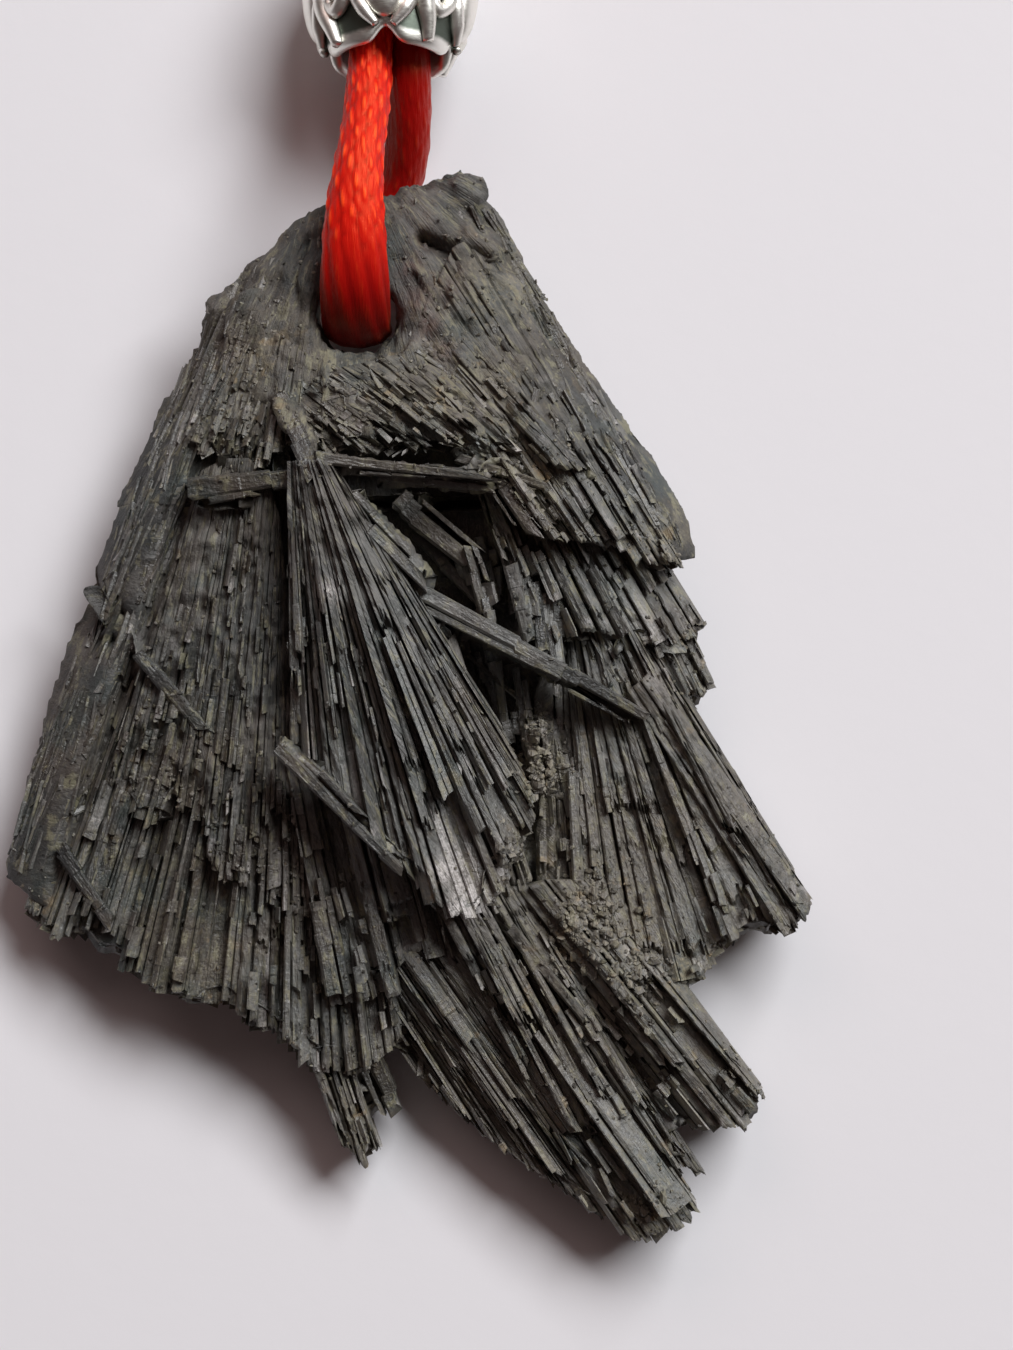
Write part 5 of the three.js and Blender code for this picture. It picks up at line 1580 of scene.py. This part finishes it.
def layCrust(tree, run):
    rng = np.random.default_rng(run["seed"])
    count = run["flakes"]
    lines = linesAt(np.array(run["lines"]), rng.random(count))
    way = lines[:, 1] - lines[:, 0]
    x, y = (lines[:, 0] + way * rng.uniform(0.0, 1.0, count)[:, None]).T
    turn = np.arctan2(way[:, 1], way[:, 0]) + rng.normal(0, 0.07, count)
    turn += (rng.random(count) < 0.06) * rng.normal(0, 0.6, count)
    reach = rng.uniform(*run["long"], count) * rng.uniform(0.4, 1, count) / 2
    half = rng.uniform(*run["wide"], count) / 2
    ax, ay = x - np.cos(turn) * reach, y - np.sin(turn) * reach
    bx, by = x + np.cos(turn) * reach, y + np.sin(turn) * reach
    za, zb, middle = (topsAt(tree, zip(*place)) for place in ((ax, ay), (bx, by), (x, y)))
    # only where the stone carries both ends and the middle, away from the hole and the cracks
    fits = np.isfinite(za + zb + middle) & (np.minimum(fromHole(ax, ay), fromHole(bx, by)) > 2.35)
    fits[fits] &= (np.minimum(za, zb) > 2.4)[fits] & (np.abs(za - zb) < 1.8 * reach)[fits]
    fits[fits] &= (np.abs(middle - (za + zb) / 2) < 0.3)[fits] & (np.abs(middle) < 9.7)[fits]
    fits &= ~nearCrack(x, y, 0.12 + reach)
    left, right = (
        np.stack([np.stack([endX - np.sin(turn) * out, endY + np.cos(turn) * out, endZ], -1)
                  for endX, endY, endZ in ((ax, ay, za), (bx, by, zb))], 1)[fits]
        for out in (half, -half)
    )
    count = int(fits.sum())
    return bladeSet(rng, left, right, np.zeros(count), np.ones(count), rng.uniform(*run["lift"], count),
                    rng.normal(0, 0.22, count), np.full(count, run.get("depth", 0.4)),
                    breaks=2, ragged=0.08, drop=0.03)


def layCrumbs(places, sizes, seed):
    # angular grains, each an uneven ball of twenty faces
    rng = np.random.default_rng(seed)
    golden = (1 + 5**0.5) / 2
    ball = np.array([
        (-1, golden, 0), (1, golden, 0), (-1, -golden, 0), (1, -golden, 0), (0, -1, golden), (0, 1, golden),
        (0, -1, -golden), (0, 1, -golden), (golden, 0, -1), (golden, 0, 1), (-golden, 0, -1), (-golden, 0, 1),
    ])
    faces = np.array([
        (0, 11, 5), (0, 5, 1), (0, 1, 7), (0, 7, 10), (0, 10, 11), (1, 5, 9), (5, 11, 4),
        (11, 10, 2), (10, 7, 6), (7, 1, 8), (3, 9, 4), (3, 4, 2), (3, 2, 6), (3, 6, 8),
        (3, 8, 9), (4, 9, 5), (2, 4, 11), (6, 2, 10), (8, 6, 7), (9, 8, 1),
    ])
    count, corners = len(places), len(ball)
    uneven = rng.uniform(0.55, 1.25, (count, corners, 1)) * rng.uniform(0.5, 1.35, (count, 1, 3))
    points = ball[None] / 1.9 * uneven * np.asarray(sizes)[:, None, None] + np.asarray(places)[:, None]
    offset = (np.arange(count) * corners)[:, None, None]
    return points.reshape(-1, 3), (faces[None] + offset).reshape(-1, 3)


# pale matrix caught between the blades: x, y, spread in mm and count of grains
crumbHeaps = [
    (9.6, -11.4, 2.1, 560), (12.2, -14.2, 1.5, 240), (7.3, -3.2, 1.1, 240), (6.9, -1.0, 0.8, 110),
    (12.8, -26.4, 1.0, 130), (5.4, -7.6, 0.9, 90),
]
headCrumbs = {"count": 700, "x": (-12.0, 10.0), "y": (11.5, 28.2), "lowest": 4.2, "size": (0.05, 0.14)}


def crumbPlaces(rng, fans, pieces):
    # where the grains lie on the pieces, how large they are and how pale
    graph = bpy.context.evaluated_depsgraph_get()
    trees = [BVHTree.FromObject(piece, graph) for piece in pieces]

    def topAt(x, y):
        hits = [tree.ray_cast(Vector((x * mm, y * mm, 0.03)), Vector((0, 0, -1)))[0] for tree in trees]
        return max((hit.z / mm for hit in hits if hit), default=-1.0)

    spots, sizes, pale = [], [], []

    def scatter(x, y, lowest, size, light):
        z = np.array([topAt(*spot) for spot in zip(x, y)])
        good = (z > lowest) & (fromHole(x, y) > 2.6)
        spots.append(np.stack([x, y, z + size * rng.uniform(-0.3, 0.4, len(x))], axis=1)[good])
        sizes.append(size[good])
        pale.append(light[good])

    for plan in fans:
        fan = {**fanHabit, **plan}
        count = fan["crumbs"]
        lines = linesAt(np.array(fan["ribs"]), rng.random(count))
        long = np.linalg.norm(lines[:, 1] - lines[:, 0], axis=1)
        t = np.clip(1 - (rng.exponential(3.0, count) + fan["ragged"] * 0.3 + 0.2) / long, 0, 1)
        x, y, z = (lines[:, 0] + (lines[:, 1] - lines[:, 0]) * t[:, None]).T
        scatter(x, y, z - 1.2, rng.uniform(0.05, 0.15, count), rng.uniform(0.1, 0.9, count) ** 1.5)
    for x, y, wide, count in crumbHeaps:
        spot = rng.normal(0, 1, (count, 2)) * np.array([wide * 0.5, wide * 0.7]) + np.array([x, y])
        size = rng.uniform(0.05, 0.12, count) + 0.22 * rng.random(count) ** 5
        scatter(*spot.T, 3.0, size, rng.uniform(0.15, 1.0, count))
    count = headCrumbs["count"]
    scatter(rng.uniform(*headCrumbs["x"], count), rng.uniform(*headCrumbs["y"], count), headCrumbs["lowest"],
            rng.uniform(*headCrumbs["size"], count), rng.uniform(0.1, 0.8, count))
    return np.vstack(spots), np.concatenate(sizes), np.concatenate(pale)


kyanite = kyaniteMaterial()
headFrom, bodyTo = corePlan["headFrom"], corePlan["headFrom"] + corePlan["overlap"]
stonePieces = [
    stoneCore(corePlan, "stone_head", headFrom, corePlan["to"], corePlan["headVoxel"], kyanite),
    stoneCore(corePlan, "stone_body", corePlan["from"], bodyTo, corePlan["bodyVoxel"], kyanite),
]
print("core ready,", sum(len(p.data.polygons) for p in stonePieces), "faces")

# what each piece is made of, then how dusty it is, how dusty its tips are and how much lighter than the core

coreTree = treeOf(stonePieces)
blades = {
    "fan_left": ([layFan(plan) for plan in (leftLower, leftUpper)], 0.18, 0.35, -0.03),
    "fan_centre": ([layFan(plan) for plan in (centreFan, underCentre)], 0.12, 0.35, 0.17),
    "fan_right": ([layFan(plan) for plan in rightLedges], 0.28, 0.35, 0.0),
    "fan_wing": ([layFan(plan) for plan in (rightWing, wingSlab)], 0.3, 0.4, 0.17),
    "fan_tail": ([layFan(plan) for plan in (tail, tailUpper, heel, spur)], 0.34, 0.4, 0.25),
    "head_collar": ([layFan(plan) for plan in collars], 0.28, 0.35, 0.0),
    "stray_crystals": ([{"blades": layCrystals()}], 0.1, 0.2, -0.12),
    "head_crust": ([{"blades": layCrust(coreTree, run)} for run in crustRuns[:3]], 0.28, 0.1, -0.08),
    "flank_grain": ([{"blades": layCrust(coreTree, run)} for run in crustRuns[3:]], 0.16, 0.0, -0.08),
}
for name, (layers, dusty, tipDust, lighter) in blades.items():
    stonePieces.append(stonePiece(name, layers, kyanite, dusty, tipDust, lighter))
print("blades ready")

allFans = [leftLower, leftUpper, centreFan, underCentre, *rightLedges, rightWing, wingSlab]
allFans += [tail, tailUpper, heel, spur, *collars]
crumbAt, crumbSize, crumbPale = crumbPlaces(np.random.default_rng(607), allFans, stonePieces)
crumbPoints, crumbFaces = layCrumbs(crumbAt, crumbSize, 611)
crumbPale = np.repeat(crumbPale, len(crumbPoints) // len(crumbAt))
crumbs = meshFrom("stone_crumbs", crumbPoints * mm, [crumbFaces], kyanite, False, {
    "grain": crumbPoints,
    "tone": np.clip(0.25 + 0.4 * crumbPale, 0, 1),
    "dust": np.clip(crumbPale * 0.9 + 0.4 * spotsAt(crumbPoints[:, 0], crumbPoints[:, 1], dustSpots), 0, 2),
    "frost": 0.2 * crumbPale**2,
})
stonePieces.append(crumbs)
print("crumbs ready")

# floor and light

stagePlan = {
    "paper": (0.76, 0.745, 0.765),
    "sky": (1.0, 0.70, 0.66),
    "skyStrength": 0.055,
    "key": {
        "from": (0.60, 0.70, 0.90), "wide": 0.95, "tall": 0.5, "power": 22.5, "colour": (0.97, 0.985, 1.0),
    },
    "fill": {
        "from": (-0.38, 0.95, 0.85), "wide": 0.9, "tall": 0.6, "power": 2.3, "colour": (1.0, 0.74, 0.70),
    },
}


def paperMaterial(plan):
    made, tree, shader = material("paper")
    pulp = noiseNode(tree, nodeIn(tree, "ShaderNodeTexCoord").outputs["Object"], 0.0016, 5.0, 0.6)
    setFinish(tree, shader, {
        "Base Color": (*plan["paper"], 1.0),
        "Roughness": 0.9,
        "Specular IOR Level": 0.2,
        "Normal": bumpNode(tree, pulp, 0.0001, 0.12),
    })
    return made


def makeStage(plan):
    corners = np.array([(-2, -2, 0), (2, -2, 0), (2, 2, 0), (-2, 2, 0)])
    floor = meshFrom("floor", corners, [np.array([[0, 1, 2, 3]])], paperMaterial(plan))
    scene.world = bpy.data.worlds.new("studio")
    scene.world.use_nodes = True
    sky = scene.world.node_tree.nodes["Background"]
    sky.inputs["Color"].default_value = (*plan["sky"], 1.0)
    sky.inputs["Strength"].default_value = plan["skyStrength"]
    for name in ("key", "fill"):
        lamp = plan[name]
        light = bpy.data.lights.new(name + "Light", "AREA")
        light.shape = "RECTANGLE"
        light.size = lamp["wide"]
        light.size_y = lamp["tall"]
        light.energy = lamp["power"]
        light.color = lamp["colour"]
        stand = bpy.data.objects.new(name + "Light", light)
        stand.location = lamp["from"]
        stand.rotation_euler = (-Vector(lamp["from"])).to_track_quat("-Z", "Y").to_euler()
        scene.collection.objects.link(stand)


makeStage(stagePlan)

# what each piece rides on and stands for

for piece in stonePieces:
    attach(piece, "root")
    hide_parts("kyanite_fan")
for piece in (sleeve, scrollwork, petals):
    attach(piece, "root")
    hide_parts("silver_bead")
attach(cord, "root")
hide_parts("satin_cord_loop", "satin_cord_coil")
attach(knot, "root")
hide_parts("satin_cord_knot")

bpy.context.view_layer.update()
everyPiece = [*stonePieces, cord, knot, sleeve, scrollwork, petals]
print("faces:", {p.name: len(p.data.polygons) for p in everyPiece})
